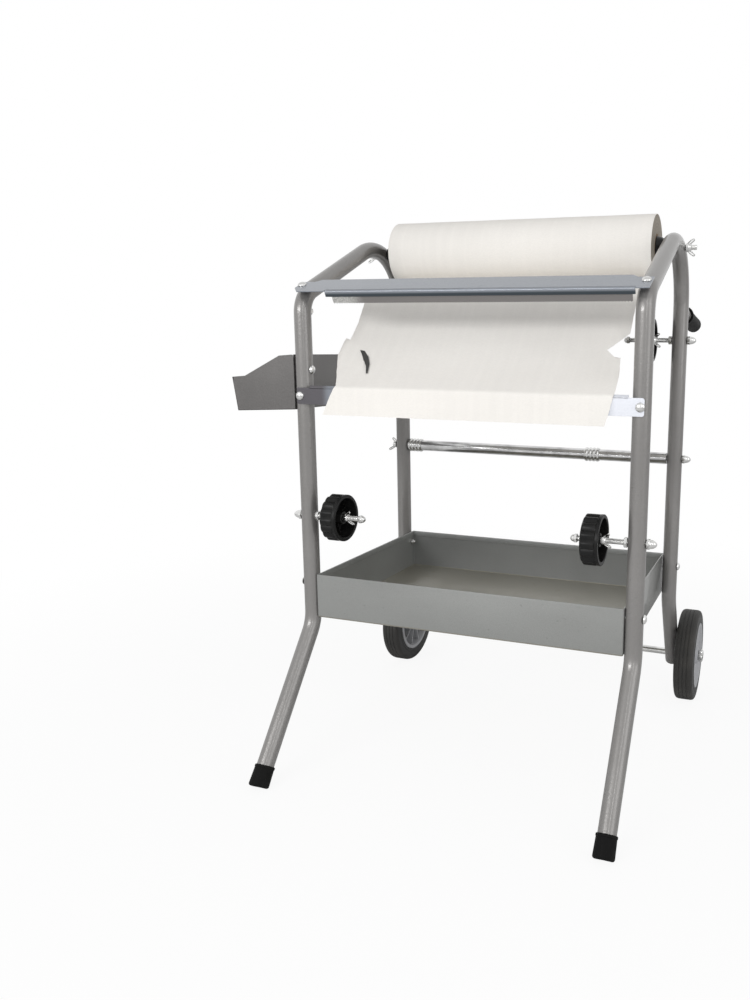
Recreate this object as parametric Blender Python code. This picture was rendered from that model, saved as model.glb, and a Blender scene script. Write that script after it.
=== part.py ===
"""A masking paper dispenser on two wheels.

Two bent tube side frames carry a paper roll on a threaded spindle, a cutter bar, a lower bar, a roller bar,
three tape hubs, a bottom tray and a side tray. X runs to the right, Y to the rear and Z up from the floor.
While the pieces are built, X is 0 midway between the frames and Y is 0 on the front legs.
"""

import math

import bmesh
import bpy
from mathutils import Quaternion, Vector

MM = 0.001
DEGREE = math.pi / 180
X_AXIS = Vector((1, 0, 0))
Y_AXIS = Vector((0, 1, 0))
Z_AXIS = Vector((0, 0, 1))

# Clearances
SEAT_GAP = 0.3 * MM
RUNNING_GAP = 0.4 * MM
WHEEL_GAP = 0.8 * MM
CUT_OVERRUN = 10 * MM

# Side frames
TUBE_DIAMETER = 25 * MM
TUBE_WALL = 1.5 * MM
FRAME_SPACING = 506.7 * MM
REAR_LEG_SETBACK = 309.3 * MM
FRONT_BEND_HEIGHT = 203.5 * MM
REAR_BEND_HEIGHT = 203.5 * MM
FRONT_LEG_LENGTH = 494 * MM
TOP_RISE = 142.1 * MM
FRONT_TOP_RADIUS = 40 * MM
REAR_TOP_RADIUS = 94 * MM
LOWER_BEND_RADIUS = 55 * MM

# Rubber feet
FOOT_REACH = 152.2 * MM
FOOT_END_HEIGHT = 3 * MM
FOOT_DIAMETER = 29 * MM
FOOT_LENGTH = 30 * MM
FOOT_BASE = 8 * MM
FOOT_EDGE = 3 * MM

# Wheels and axle
WHEEL_DIAMETER = 162 * MM
WHEEL_WIDTH = 35 * MM
WHEEL_SHOULDER = 4 * MM
DISC_DIAMETER = 116 * MM
DISC_RIM = 6 * MM
DISC_DISH = 6 * MM
DISC_WEB = 5 * MM
DISC_BOSS_DIAMETER = 30 * MM
AXLE_SETBACK = 378 * MM
AXLE_DIAMETER = 12 * MM
AXLE_NUT_DIAMETER = 19 * MM
AXLE_NUT_LENGTH = 8 * MM
AXLE_NUT_TOP = 2 * MM
TUBE_PAST_AXLE = 20 * MM

# Handles
HANDLE_DROP = 150.6 * MM
HANDLE_DROOP = 5.5 * DEGREE
HANDLE_TUBE_DIAMETER = 22 * MM
HANDLE_STUB = 30 * MM
GRIP_DIAMETER = 27 * MM
GRIP_FLANGE_DIAMETER = 30 * MM
GRIP_FLANGE_WIDTH = 4 * MM
GRIP_LENGTH = 130 * MM
GRIP_END = 5 * MM

# Fasteners
SHANK_DIAMETER = 6 * MM
HEAD_DIAMETER = 13 * MM
HEAD_HEIGHT = 4 * MM
NUT_FLATS = 10 * MM
NUT_HEIGHT = 5 * MM
SHANK_TIP = 3 * MM
ROD_DIAMETER = 8 * MM
ROD_NUT_FLATS = 13 * MM
ROD_NUT_HEIGHT = 5 * MM
CAP_NUT_LENGTH = 14 * MM
CAP_NUT_TOP = 6 * MM
END_NUT_FLATS = 11 * MM
END_NUT_LENGTH = 10 * MM
END_NUT_TOP = 5 * MM
END_NUT_SKIRT = 4.5 * MM
NUT_STEP = 0.4 * MM
WING_HUB_DIAMETER = 13 * MM
WING_HUB_LENGTH = 8 * MM
WING_SPAN = 28 * MM
WING_RISE = 14 * MM
WING_THICKNESS = 2 * MM

# Bottom tray
SHEET = 1.2 * MM
TRAY_RISE = 9.5 * MM
TRAY_DEPTH = 68 * MM
TRAY_FRONT_BOLT_RISE = 54 * MM
TRAY_REAR_BOLT_RISE = 49 * MM
TRAY_FRONT_NUT_GAP = 1.4 * MM
TRAY_REAR_NUT_GAP = 2.7 * MM

# Cutter bar and blade
CUTTER_SHEET = 1.5 * MM
CUTTER_LEFT_REACH = 6 * MM
CUTTER_RIGHT_REACH = 8 * MM
CUTTER_FRONT_REACH = 17 * MM
CUTTER_REAR_REACH = 29 * MM
CUTTER_CORNER_WIDTH = 11 * MM
CUTTER_CORNER_DEPTH = 14 * MM
CUTTER_NOTCH_WIDTH = 21 * MM
CUTTER_NOTCH_SLOPE = 8 * MM
CUTTER_NOTCH_DEPTH = 8 * MM
CUTTER_FLANGE_DEPTH = 6 * MM
CUTTER_FLANGE_LEFT_INSET = 57 * MM
CUTTER_FLANGE_RIGHT_INSET = 18 * MM
CUTTER_BOLT_BEFORE_BEND_END = 17 * MM
BLADE_SHEET = 0.8 * MM
BLADE_LEFT_INSET = 66 * MM
BLADE_RIGHT_INSET = 22 * MM
BLADE_DEPTH = 18 * MM
TOOTH_PITCH = 4 * MM
TOOTH_DEPTH = 1.2 * MM

# Lower bar
LOWER_BAR_DROP = 131.5 * MM
LOWER_BAR_WIDTH = 24 * MM
LOWER_BAR_END_REACH = 5.5 * MM
LOWER_LIP_RISE = 3.5 * MM
LOWER_LIP_RELIEF = 3 * MM

# Side tray, measured outward from the left frame and upward from the tray's inner lower edge
SIDE_TRAY_BOLT_DROP = 105.5 * MM
SIDE_TRAY_BOLT_RISE = 59 * MM
SIDE_TRAY_NUT_GAP = 0.5 * MM
SIDE_WALL_HEIGHT = 81 * MM
SIDE_TRAY_WIDTH = 111 * MM
SIDE_TRAY_FLOOR_WIDTH = 103 * MM
SIDE_FLOOR_DROP = 5 * MM
SIDE_LIP_HEIGHT = 46 * MM
END_PLATE_TOP_STEP = 26 * MM
END_PLATE_TOP_DROP = 2 * MM
END_PLATE_LIP_STEP = 23 * MM

# Paper roll
ROLL_BEND_ANGLE = 19 * DEGREE
ROLL_DIAMETER = 102 * MM
ROLL_LEFT_SPACE = 24.4 * MM
ROLL_RIGHT_SPACE = 19.4 * MM
CORE_DIAMETER = 44 * MM
CORE_WALL = 3 * MM
CONE_INSERT = 14 * MM
CONE_TAPER = 1.2 * MM
CONE_TIP_DIAMETER = 27 * MM
SPINDLE_PAST_FRAME = 17 * MM

# Hanging paper
WEB_MARGIN = 0.9 * MM
WEB_THICKNESS = 0.5 * MM
WEB_HANG = 14.5 * MM
WEB_BEND_RISE = 2 * MM
WEB_SAG = 14 * MM
WEB_NOSE_SETBACK = 130 * MM
WEB_NOSE_RADIUS = 60 * MM
WEB_BULGE = 4 * MM
TORN_HEIGHT = 121 * MM

# Roller bar
ROLLER_DROP = 85.5 * MM
ROLLER_DIAMETER = 19 * MM
ROLLER_WALL = 1.2 * MM
ROLLER_END_GAP = 0.6 * MM
ROLLER_PLUG = 24 * MM
ROLLER_BOLT_INSERT = 18 * MM
COLLAR_DIAMETER = 24 * MM
COLLAR_ROOT_DIAMETER = 21.4 * MM
COLLAR_RIB_PITCH = 6.4 * MM
LEFT_COLLAR_INSET = 1 * MM
RIGHT_COLLAR_X = 111 * MM

# Tape hubs
LOWER_HUB_RISE = 91 * MM
UPPER_HUB_DROP = 196.6 * MM
LEFT_HUB_SPACE = 38 * MM
RIGHT_HUB_SPACE = 47 * MM
UPPER_HUB_SPACE = 42.5 * MM
LEFT_ROD_STUB = 12 * MM
RIGHT_ROD_STUB = 5 * MM
UPPER_ROD_STUB = 9.5 * MM
HUB_WIDTH = 26 * MM
HUB_DIAMETER = 71 * MM
HUB_LOBE_DEPTH = 2.5 * MM
HUB_LIP = 5 * MM
HUB_WALL = 3 * MM
HUB_BOSS_DIAMETER = 20 * MM
HUB_BOSS_RECESS = 4 * MM

# Counts
FASTENER_SIDES = 12
FRAME_SIDES = 16
SLEEVE_SIDES = 12
HUB_LOBES = 16
ROUND_SIDES = 32
BEND_STEP = 17 * DEGREE
WEB_STEPS = 8
COLLAR_RIBS = 4

# Torn edges of the hanging paper, from the bottom up: (share of half the width, share of the torn height)
RIGHT_EDGE_SHARES = (
    (0.937, 0.0), (0.968, 0.176), (0.998, 0.364), (0.976, 0.731), (0.933, 0.740), (0.875, 0.814), (1.0, 1.0),
)
LEFT_EDGE_SHARES = (
    (1.0, 0.0), (0.951, 0.188), (0.902, 0.355), (0.964, 0.527), (1.017, 0.713), (1.004, 0.921),
    (0.959, 0.903), (0.973, 1.186), (0.979, 1.434), (1.0, 1.9),
)
SLIT_SHARES = ((0.846, 0.764), (0.820, 0.744), (0.768, 0.640), (0.719, 0.517), (0.784, 0.620))

# Worked out from the sizes above
HALF_SPACING = FRAME_SPACING / 2
TUBE_RADIUS = TUBE_DIAMETER / 2
INNER_FACE = HALF_SPACING - TUBE_RADIUS
OUTER_FACE = HALF_SPACING + TUBE_RADIUS
AXLE_HEIGHT = WHEEL_DIAMETER / 2
FRONT_TOP_HEIGHT = FRONT_BEND_HEIGHT + FRONT_LEG_LENGTH
REAR_TOP_HEIGHT = FRONT_TOP_HEIGHT + TOP_RISE
HANDLE_HEIGHT = REAR_TOP_HEIGHT - HANDLE_DROP
NUT_CORNER = NUT_FLATS / 2 / math.cos(math.pi / 6)
TRAY_FRONT = -(NUT_CORNER + SHEET + TRAY_FRONT_NUT_GAP)
TRAY_REAR = REAR_LEG_SETBACK + NUT_CORNER + SHEET + TRAY_REAR_NUT_GAP
TRAY_BOTTOM = FRONT_BEND_HEIGHT + TRAY_RISE
TRAY_TOP = TRAY_BOTTOM + TRAY_DEPTH
TRAY_FRONT_BOLT_HEIGHT = TRAY_BOTTOM + TRAY_FRONT_BOLT_RISE
TRAY_REAR_BOLT_HEIGHT = TRAY_BOTTOM + TRAY_REAR_BOLT_RISE
LOWER_BAR_TOP = FRONT_TOP_HEIGHT - LOWER_BAR_DROP
LOWER_BAR_BOTTOM = LOWER_BAR_TOP - LOWER_BAR_WIDTH
SIDE_TRAY_PAST_LEG = NUT_CORNER + SHEET + SIDE_TRAY_NUT_GAP
SIDE_TRAY_BOLT_HEIGHT = FRONT_TOP_HEIGHT - SIDE_TRAY_BOLT_DROP
SIDE_TRAY_BOTTOM = SIDE_TRAY_BOLT_HEIGHT - SIDE_TRAY_BOLT_RISE
ROLLER_HEIGHT = SIDE_TRAY_BOTTOM - ROLLER_DROP
ROLLER_HALF = INNER_FACE - ROLLER_END_GAP
CUTTER_LEFT = -(HALF_SPACING + CUTTER_LEFT_REACH)
CUTTER_RIGHT = HALF_SPACING + CUTTER_RIGHT_REACH
ROLL_LEFT = ROLL_LEFT_SPACE - INNER_FACE
ROLL_RIGHT = INNER_FACE - ROLL_RIGHT_SPACE
WEB_HALF = (ROLL_RIGHT - ROLL_LEFT) / 2 - WEB_MARGIN
WEB_MIDDLE = (ROLL_RIGHT + ROLL_LEFT) / 2
WEB_BOTTOM = LOWER_BAR_BOTTOM - WEB_HANG
LOWER_HUB_HEIGHT = TRAY_TOP + LOWER_HUB_RISE
UPPER_HUB_HEIGHT = REAR_TOP_HEIGHT - UPPER_HUB_DROP
HUB_TO_WING_END = HUB_WIDTH / 2 - HUB_BOSS_RECESS + SEAT_GAP + WING_RISE
HUB_TO_NUT_END = HUB_WIDTH / 2 + SEAT_GAP + ROD_NUT_HEIGHT
LEFT_HUB_X = LEFT_HUB_SPACE - INNER_FACE
RIGHT_HUB_X = INNER_FACE - RIGHT_HUB_SPACE
UPPER_HUB_X = INNER_FACE - UPPER_HUB_SPACE
SLOPE = math.atan2(TOP_RISE, REAR_LEG_SETBACK)
SLOPE_UP = Vector((0, math.cos(SLOPE), math.sin(SLOPE)))
SLOPE_NORMAL = Vector((0, -math.sin(SLOPE), math.cos(SLOPE)))
FRONT_TOP = Vector((0, 0, FRONT_TOP_HEIGHT))
FRONT_BEND = Vector((0, 0, FRONT_BEND_HEIGHT))
FOOT_END = Vector((0, -FOOT_REACH, FOOT_END_HEIGHT))
FOOT_DIRECTION = (FRONT_BEND - FOOT_END).normalized()
REAR_BEND = Vector((0, REAR_LEG_SETBACK, REAR_BEND_HEIGHT))
AXLE_POINT = Vector((0, AXLE_SETBACK, AXLE_HEIGHT))
REAR_BEND_CENTRE = Vector((
    0,
    REAR_LEG_SETBACK - REAR_TOP_RADIUS,
    FRONT_TOP_HEIGHT + (REAR_LEG_SETBACK - REAR_TOP_RADIUS) * math.tan(SLOPE) - REAR_TOP_RADIUS / math.cos(SLOPE),
))
ROLL_CENTRE = REAR_BEND_CENTRE + REAR_TOP_RADIUS * Vector((0, math.sin(ROLL_BEND_ANGLE), math.cos(ROLL_BEND_ANGLE)))
ROD_RADIUS = ROD_DIAMETER / 2
SHANK_RADIUS = SHANK_DIAMETER / 2


# Materials

def finish(name, colour, roughness, metallic):
    """Return a plain surface material, made once."""
    if name in bpy.data.materials:
        return bpy.data.materials[name]
    surface = bpy.data.materials.new(name)
    surface.use_nodes = True
    shader = surface.node_tree.nodes["Principled BSDF"]
    shader.inputs["Base Color"].default_value = (*colour, 1)
    shader.inputs["Roughness"].default_value = roughness
    shader.inputs["Metallic"].default_value = metallic
    return surface


def frame_paint():
    return finish("frame_paint", (0.25, 0.25, 0.25), 0.35, 0.6)


def bar_paint():
    return finish("bar_paint", (0.20, 0.22, 0.25), 0.35, 0.6)


def tray_paint():
    return finish("tray_paint", (0.22, 0.23, 0.23), 0.45, 0.4)


def side_tray_paint():
    return finish("side_tray_paint", (0.10, 0.10, 0.095), 0.45, 0.4)


def blade_steel():
    return finish("blade_steel", (0.60, 0.60, 0.58), 0.40, 1.0)


def bright_plate():
    return finish("bright_plate", (0.70, 0.70, 0.70), 0.15, 1.0)


def black_plastic():
    return finish("black_plastic", (0.012, 0.012, 0.012), 0.35, 0.0)


def black_rubber():
    return finish("black_rubber", (0.015, 0.015, 0.015), 0.55, 0.0)


def grey_plastic():
    return finish("grey_plastic", (0.40, 0.41, 0.42), 0.45, 0.0)


def paper():
    return finish("paper", (0.80, 0.78, 0.73), 0.80, 0.0)


def cardboard():
    return finish("cardboard", (0.30, 0.22, 0.15), 0.90, 0.0)


# Shapes

def loft(rings, closed=False):
    """Join rings of points into one skin that closes on itself or is capped at both ends."""
    shape = bmesh.new()
    loops = [[shape.verts.new(point) for point in ring] for ring in rings]
    pairs = list(zip(loops, loops[1:]))
    if closed:
        pairs.append((loops[-1], loops[0]))
    else:
        shape.faces.new(loops[0])
        shape.faces.new(loops[-1])
    for near, far in pairs:
        for first in range(len(near)):
            second = (first + 1) % len(near)
            shape.faces.new((near[first], near[second], far[second], far[first]))
    bmesh.ops.recalc_face_normals(shape, faces=shape.faces)
    return shape


def round_reach(radius, angle):
    """Distance from the axis to a round outline."""
    return radius


def hex_reach(radius, angle):
    """Distance from the axis to a hexagon whose flats lie at the radius."""
    half = math.pi / 6
    return radius / math.cos(angle % (half * 2) - half)


def lobed_reach(radius, angle):
    """Distance from the axis to an outline of rounded lobes whose tips lie at the radius."""
    return radius - HUB_LOBE_DEPTH * (1 - math.cos(angle * HUB_LOBES)) / 2


def turned(stations, sides=FASTENER_SIDES, bored=False):
    """Turn stations of (place along X, radius, outline) about the X axis."""
    rings = []
    for place, radius, *outline in stations:
        reach = outline[0] if outline else round_reach
        angles = [math.tau * side / sides for side in range(sides)]
        rings.append([
            Vector((place, reach(radius, angle) * math.cos(angle), reach(radius, angle) * math.sin(angle)))
            for angle in angles
        ])
    return loft(rings, closed=bored)


def prism(outline, run):
    """Extrude a flat outline of points along a run."""
    return loft([outline, [point + run for point in outline]])


def box(low, high):
    """A block between two corners."""
    outline = [
        Vector((low[0], low[1], low[2])), Vector((low[0], high[1], low[2])),
        Vector((low[0], high[1], high[2])), Vector((low[0], low[1], high[2])),
    ]
    return prism(outline, Vector((high[0] - low[0], 0, 0)))


def bent_path(corners, radii):
    """Follow straight runs between corners, with an arc of its own radius at each inner corner."""
    path = [corners[0]]
    for before, corner, after, radius in zip(corners, corners[1:], corners[2:], radii):
        back = (before - corner).normalized()
        ahead = (after - corner).normalized()
        half = back.angle(ahead) / 2
        middle = (back + ahead).normalized()
        centre = corner + middle * (radius / math.sin(half))
        start = corner + back * (radius / math.tan(half))
        turn = math.pi - half * 2
        steps = math.ceil(turn / BEND_STEP)
        normal = (start - centre).normalized()
        for step in range(steps + 1):
            swing = turn * step / steps
            path.append(centre + radius * (normal * math.cos(swing) - back * math.sin(swing)))
    path.append(corners[-1])
    return path


def pipe(path, radius, wall):
    """A tube with open ends along a path in the plane across X."""
    outer = []
    inner = []
    for place, point in enumerate(path):
        ahead = path[min(place + 1, len(path) - 1)]
        behind = path[max(place - 1, 0)]
        across = (ahead - behind).normalized().cross(X_AXIS)
        angles = [math.tau * side / FRAME_SIDES for side in range(FRAME_SIDES)]
        spokes = [X_AXIS * math.cos(angle) + across * math.sin(angle) for angle in angles]
        outer.append([point + spoke * radius for spoke in spokes])
        inner.append([point + spoke * (radius - wall) for spoke in spokes])
    return loft(outer + inner[::-1], closed=True)


def add_piece(name, shape, surface, location=(0, 0, 0), direction=None):
    """Make a named object of a shape. A direction is where its local X axis points."""
    mesh = bpy.data.meshes.new(name)
    shape.to_mesh(mesh)
    shape.free()
    mesh.materials.append(surface)
    piece = bpy.data.objects.new(name, mesh)
    bpy.context.collection.objects.link(piece)
    piece.location = location
    if direction is not None:
        aim(piece, direction)
    return piece


def aim(piece, direction, turn=0):
    """Point a piece's local X axis along a direction, turned about it."""
    piece.rotation_mode = "QUATERNION"
    piece.rotation_quaternion = direction.to_track_quat("X", "Z") @ Quaternion(X_AXIS, turn)


def add_tool(shape, location=(0, 0, 0), direction=None):
    """Make a solid that cuts or joins another piece."""
    return add_piece("tool", shape, frame_paint(), location, direction)


def combine(piece, tools, operation="DIFFERENCE"):
    """Cut tools from a piece, or join them to it, and remove the tools."""
    for tool in tools:
        step = piece.modifiers.new("step", "BOOLEAN")
        step.operation = operation
        step.object = tool
    bpy.context.view_layer.update()
    shaped = piece.evaluated_get(bpy.context.evaluated_depsgraph_get())
    mesh = bpy.data.meshes.new_from_object(shaped)
    piece.modifiers.clear()
    piece.data = mesh
    for tool in tools:
        bpy.data.objects.remove(tool)


def drill(piece, holes, sides=FASTENER_SIDES):
    """Drill holes, each a centre, a direction, a radius and a depth either way."""
    tools = []
    for centre, direction, radius, reach in holes:
        tool = add_tool(turned([(-reach, radius), (reach, radius)], sides), centre)
        aim(tool, direction, math.pi / sides)
        tools.append(tool)
    combine(piece, tools)


def side_name(side):
    return "left" if side < 0 else "right"


# Fasteners

def bolt_shape(grip):
    """A dome headed bolt with its nut drawn up: the head lies behind X = 0, the nut beyond the grip."""
    head = HEAD_DIAMETER / 2
    flats = NUT_FLATS / 2
    return turned([
        (-HEAD_HEIGHT, head / 2),
        (0, head),
        (0, SHANK_RADIUS),
        (grip, SHANK_RADIUS),
        (grip, flats, hex_reach),
        (grip + NUT_HEIGHT, flats, hex_reach),
        (grip + NUT_HEIGHT, SHANK_RADIUS),
        (grip + NUT_HEIGHT + SHANK_TIP, SHANK_RADIUS),
    ])


def cap_nut_shape(flats, length, top, bore, skirt):
    """A domed nut whose blind hole opens at X = 0."""
    radius = flats / 2
    dome = radius - NUT_STEP
    return turned([
        (length - top, bore),
        (0, bore),
        (0, radius, hex_reach),
        (skirt, radius, hex_reach),
        (skirt, dome),
        ((skirt + length) / 2, dome * math.cos(math.pi / 6)),
        (length, dome * math.cos(math.pi / 3)),
    ])


def wing_outline(mirror):
    """One wing, in the plane of X and Z."""
    root = (ROD_RADIUS + RUNNING_GAP + WING_HUB_DIAMETER / 2) / 2
    tip = WING_SPAN / 2
    shares = ((0.1, root), (0.25, tip * 0.7), (0.75, tip), (1.0, tip * 0.92), (0.95, tip * 0.66), (0.5, root))
    return [Vector((along * WING_RISE, -WING_THICKNESS / 2, mirror * out)) for along, out in shares]


def wing_piece(name, body, location, direction, turn):
    """Put two wings on a turned body that points along a direction, turned about it."""
    piece = add_piece(name, body, bright_plate())
    wings = [add_tool(prism(wing_outline(mirror), Y_AXIS * WING_THICKNESS)) for mirror in (-1, 1)]
    combine(piece, wings, "UNION")
    piece.location = location
    aim(piece, direction, turn)


def wing_nut(name, location, direction, turn):
    """A wing nut whose seat faces against the direction."""
    bore = ROD_RADIUS + RUNNING_GAP
    hub = WING_HUB_DIAMETER / 2
    body = turned([
        (0, bore),
        (0, hub),
        (WING_HUB_LENGTH, hub * math.cos(math.pi / 6)),
        (WING_HUB_LENGTH, bore),
    ], bored=True)
    wing_piece(name, body, location, direction, turn)


# Side frames

def frame_path():
    """The middle line of a side frame, from the front foot over the top to the rear end."""
    rear_direction = (AXLE_POINT - REAR_BEND).normalized()
    corners = [
        FOOT_END + FOOT_DIRECTION * (FOOT_BASE + SEAT_GAP),
        FRONT_BEND,
        FRONT_TOP,
        Vector((0, REAR_LEG_SETBACK, REAR_TOP_HEIGHT)),
        REAR_BEND,
        AXLE_POINT + rear_direction * TUBE_PAST_AXLE,
    ]
    return bent_path(corners, [LOWER_BEND_RADIUS, FRONT_TOP_RADIUS, REAR_TOP_RADIUS, LOWER_BEND_RADIUS])


def bend_reach():
    """How far up the slope the front top bend ends, from its sharp corner."""
    return FRONT_TOP_RADIUS * math.tan((math.pi / 2 - SLOPE) / 2)


def cutter_bolt_point(side):
    """Where a cutter bar bolt crosses the underside of the bar."""
    lift = SLOPE_NORMAL * (TUBE_RADIUS + SEAT_GAP)
    setback = bend_reach() - CUTTER_BOLT_BEFORE_BEND_END
    return FRONT_TOP + lift + SLOPE_UP * setback + X_AXIS * side * HALF_SPACING


def frame_holes(side):
    """Every hole through one side frame."""
    across = X_AXIS * side * HALF_SPACING
    rod = ROD_RADIUS + SEAT_GAP
    shank = SHANK_RADIUS + SEAT_GAP
    reach = TUBE_RADIUS + CUT_OVERRUN
    holes = [
        (across + ROLL_CENTRE, X_AXIS, rod, reach),
        (across + Vector((0, 0, LOWER_HUB_HEIGHT)), X_AXIS, rod, reach),
        (across + Vector((0, REAR_LEG_SETBACK, ROLLER_HEIGHT)), X_AXIS, rod, reach),
        (across + Vector((0, 0, TRAY_FRONT_BOLT_HEIGHT)), X_AXIS, shank, reach),
        (across + Vector((0, REAR_LEG_SETBACK, TRAY_REAR_BOLT_HEIGHT)), X_AXIS, shank, reach),
        (across + Vector((0, 0, lower_bar_middle())), Y_AXIS, shank, reach),
        (cutter_bolt_point(side), SLOPE_NORMAL, shank, cutter_nut_depth() + CUT_OVERRUN),
    ]
    if side > 0:
        holes.append((across + Vector((0, REAR_LEG_SETBACK, UPPER_HUB_HEIGHT)), X_AXIS, rod, reach))
    else:
        holes.append((across + Vector((0, 0, SIDE_TRAY_BOLT_HEIGHT)), X_AXIS, shank, reach))
        holes.append((across + Vector((0, REAR_LEG_SETBACK, SIDE_TRAY_BOLT_HEIGHT)), X_AXIS, shank, reach))
    return holes


def side_frame(side):
    """One bent tube with its two legs."""
    shape = pipe(frame_path(), TUBE_RADIUS, TUBE_WALL)
    frame = add_piece("frame_" + side_name(side), shape, frame_paint(), X_AXIS * side * HALF_SPACING)
    drill(frame, frame_holes(side))
    axle_hole = (AXLE_POINT + X_AXIS * side * HALF_SPACING, X_AXIS, AXLE_DIAMETER / 2 + SEAT_GAP,
                 TUBE_RADIUS + CUT_OVERRUN)
    drill(frame, [axle_hole], ROUND_SIDES)


def foot(side):
    """A rubber ferrule on the front leg, worn flat where it meets the floor."""
    outer = FOOT_DIAMETER / 2
    bore = TUBE_RADIUS + SEAT_GAP
    shape = turned([
        (0, outer - FOOT_EDGE),
        (FOOT_EDGE * (1 - math.cos(math.pi / 4)), outer - FOOT_EDGE * (1 - math.sin(math.pi / 4))),
        (FOOT_EDGE, outer),
        (FOOT_LENGTH, outer),
        (FOOT_LENGTH, bore),
        (FOOT_BASE, bore),
    ], FRAME_SIDES)
    end = FOOT_END + X_AXIS * side * HALF_SPACING
    piece = add_piece("foot_" + side_name(side), shape, black_rubber(), end, FOOT_DIRECTION)
    floor = add_tool(box(
        (end.x - FOOT_DIAMETER, end.y - FOOT_DIAMETER, -FOOT_DIAMETER),
        (end.x + FOOT_DIAMETER, end.y + FOOT_DIAMETER, 0),
    ))
    combine(piece, [floor])


def handle(side):
    """A stub tube welded to the rear leg, and its grip."""
    direction = Vector((0, math.cos(HANDLE_DROOP), -math.sin(HANDLE_DROOP)))
    start = Vector((side * HALF_SPACING, REAR_LEG_SETBACK, HANDLE_HEIGHT))
    radius = HANDLE_TUBE_DIAMETER / 2
    grip_start = TUBE_RADIUS + HANDLE_STUB
    tube_end = grip_start + GRIP_LENGTH - GRIP_END - SEAT_GAP
    shape = turned([
        (0, radius),
        (tube_end, radius),
        (tube_end, radius - TUBE_WALL),
        (0, radius - TUBE_WALL),
    ], SLEEVE_SIDES, bored=True)
    stub = add_piece("handle_tube_" + side_name(side), shape, frame_paint(), start, direction)
    leg = turned([(-TUBE_DIAMETER, TUBE_RADIUS + SEAT_GAP), (TUBE_DIAMETER, TUBE_RADIUS + SEAT_GAP)], ROUND_SIDES)
    combine(stub, [add_tool(leg, start, Vector((0, 0, 1)))])

    grip = GRIP_DIAMETER / 2
    flange = GRIP_FLANGE_DIAMETER / 2
    bore = radius + SEAT_GAP
    shape = turned([
        (GRIP_LENGTH - GRIP_END, bore),
        (0, bore),
        (0, flange),
        (GRIP_FLANGE_WIDTH, flange),
        (GRIP_FLANGE_WIDTH * 2, grip),
        (GRIP_LENGTH - GRIP_END, grip),
        (GRIP_LENGTH - GRIP_END * (1 - math.sin(math.pi / 4)), grip - GRIP_END * (1 - math.cos(math.pi / 4))),
        (GRIP_LENGTH, grip - GRIP_END),
    ], SLEEVE_SIDES)
    add_piece("grip_" + side_name(side), shape, black_rubber(), start + direction * grip_start, direction)


# Wheels

def wheel_middle(side):
    """The centre of a wheel."""
    return AXLE_POINT + X_AXIS * side * (OUTER_FACE + WHEEL_GAP + WHEEL_WIDTH / 2)


def wheel(side):
    """A solid rubber tyre on a dished plastic disc."""
    half = WHEEL_WIDTH / 2
    rim = DISC_DIAMETER / 2
    tread = WHEEL_DIAMETER / 2
    shape = turned([
        (-half + WHEEL_SHOULDER, tread),
        (-half, tread - WHEEL_SHOULDER * 2),
        (-half, rim + SEAT_GAP),
        (half, rim + SEAT_GAP),
        (half, tread - WHEEL_SHOULDER * 2),
        (half - WHEEL_SHOULDER, tread),
    ], ROUND_SIDES, bored=True)
    add_piece("tyre_" + side_name(side), shape, black_rubber(), wheel_middle(side))

    boss = DISC_BOSS_DIAMETER / 2
    bore = AXLE_DIAMETER / 2 + RUNNING_GAP
    inside = half - DISC_DISH - DISC_WEB
    shape = turned([
        (half, boss),
        (half - DISC_DISH, boss + DISC_RIM),
        (half - DISC_DISH, rim - DISC_RIM * 2),
        (half, rim - DISC_RIM),
        (half, rim),
        (-half, rim),
        (-half, rim - DISC_RIM),
        (inside, rim - DISC_RIM * 2),
        (-half, boss),
        (-half, bore),
        (half, bore),
    ], ROUND_SIDES, bored=True)
    disc = add_piece("wheel_disc_" + side_name(side), shape, grey_plastic(), wheel_middle(side))
    if side < 0:
        disc.rotation_euler.z = math.pi


def axle():
    """The axle through both rear legs, and the domed nut at each end."""
    radius = AXLE_DIAMETER / 2
    wheel_face = OUTER_FACE + WHEEL_GAP + WHEEL_WIDTH
    end = wheel_face + AXLE_NUT_LENGTH - AXLE_NUT_TOP
    shape = turned([(-end, radius), (end, radius)], ROUND_SIDES)
    add_piece("axle", shape, bright_plate(), AXLE_POINT)
    nut = AXLE_NUT_DIAMETER / 2
    bore = radius + SEAT_GAP
    for side in (-1, 1):
        shape = turned([
            (AXLE_NUT_LENGTH - AXLE_NUT_TOP + SEAT_GAP, bore),
            (SEAT_GAP * 2, bore),
            (SEAT_GAP * 2, nut),
            (AXLE_NUT_LENGTH / 2, nut),
            (AXLE_NUT_LENGTH, nut * math.cos(math.pi / 3)),
        ], SLEEVE_SIDES)
        seat = AXLE_POINT + X_AXIS * side * wheel_face
        add_piece("axle_nut_" + side_name(side), shape, bright_plate(), seat, X_AXIS * side)


# Trays and bars

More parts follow.
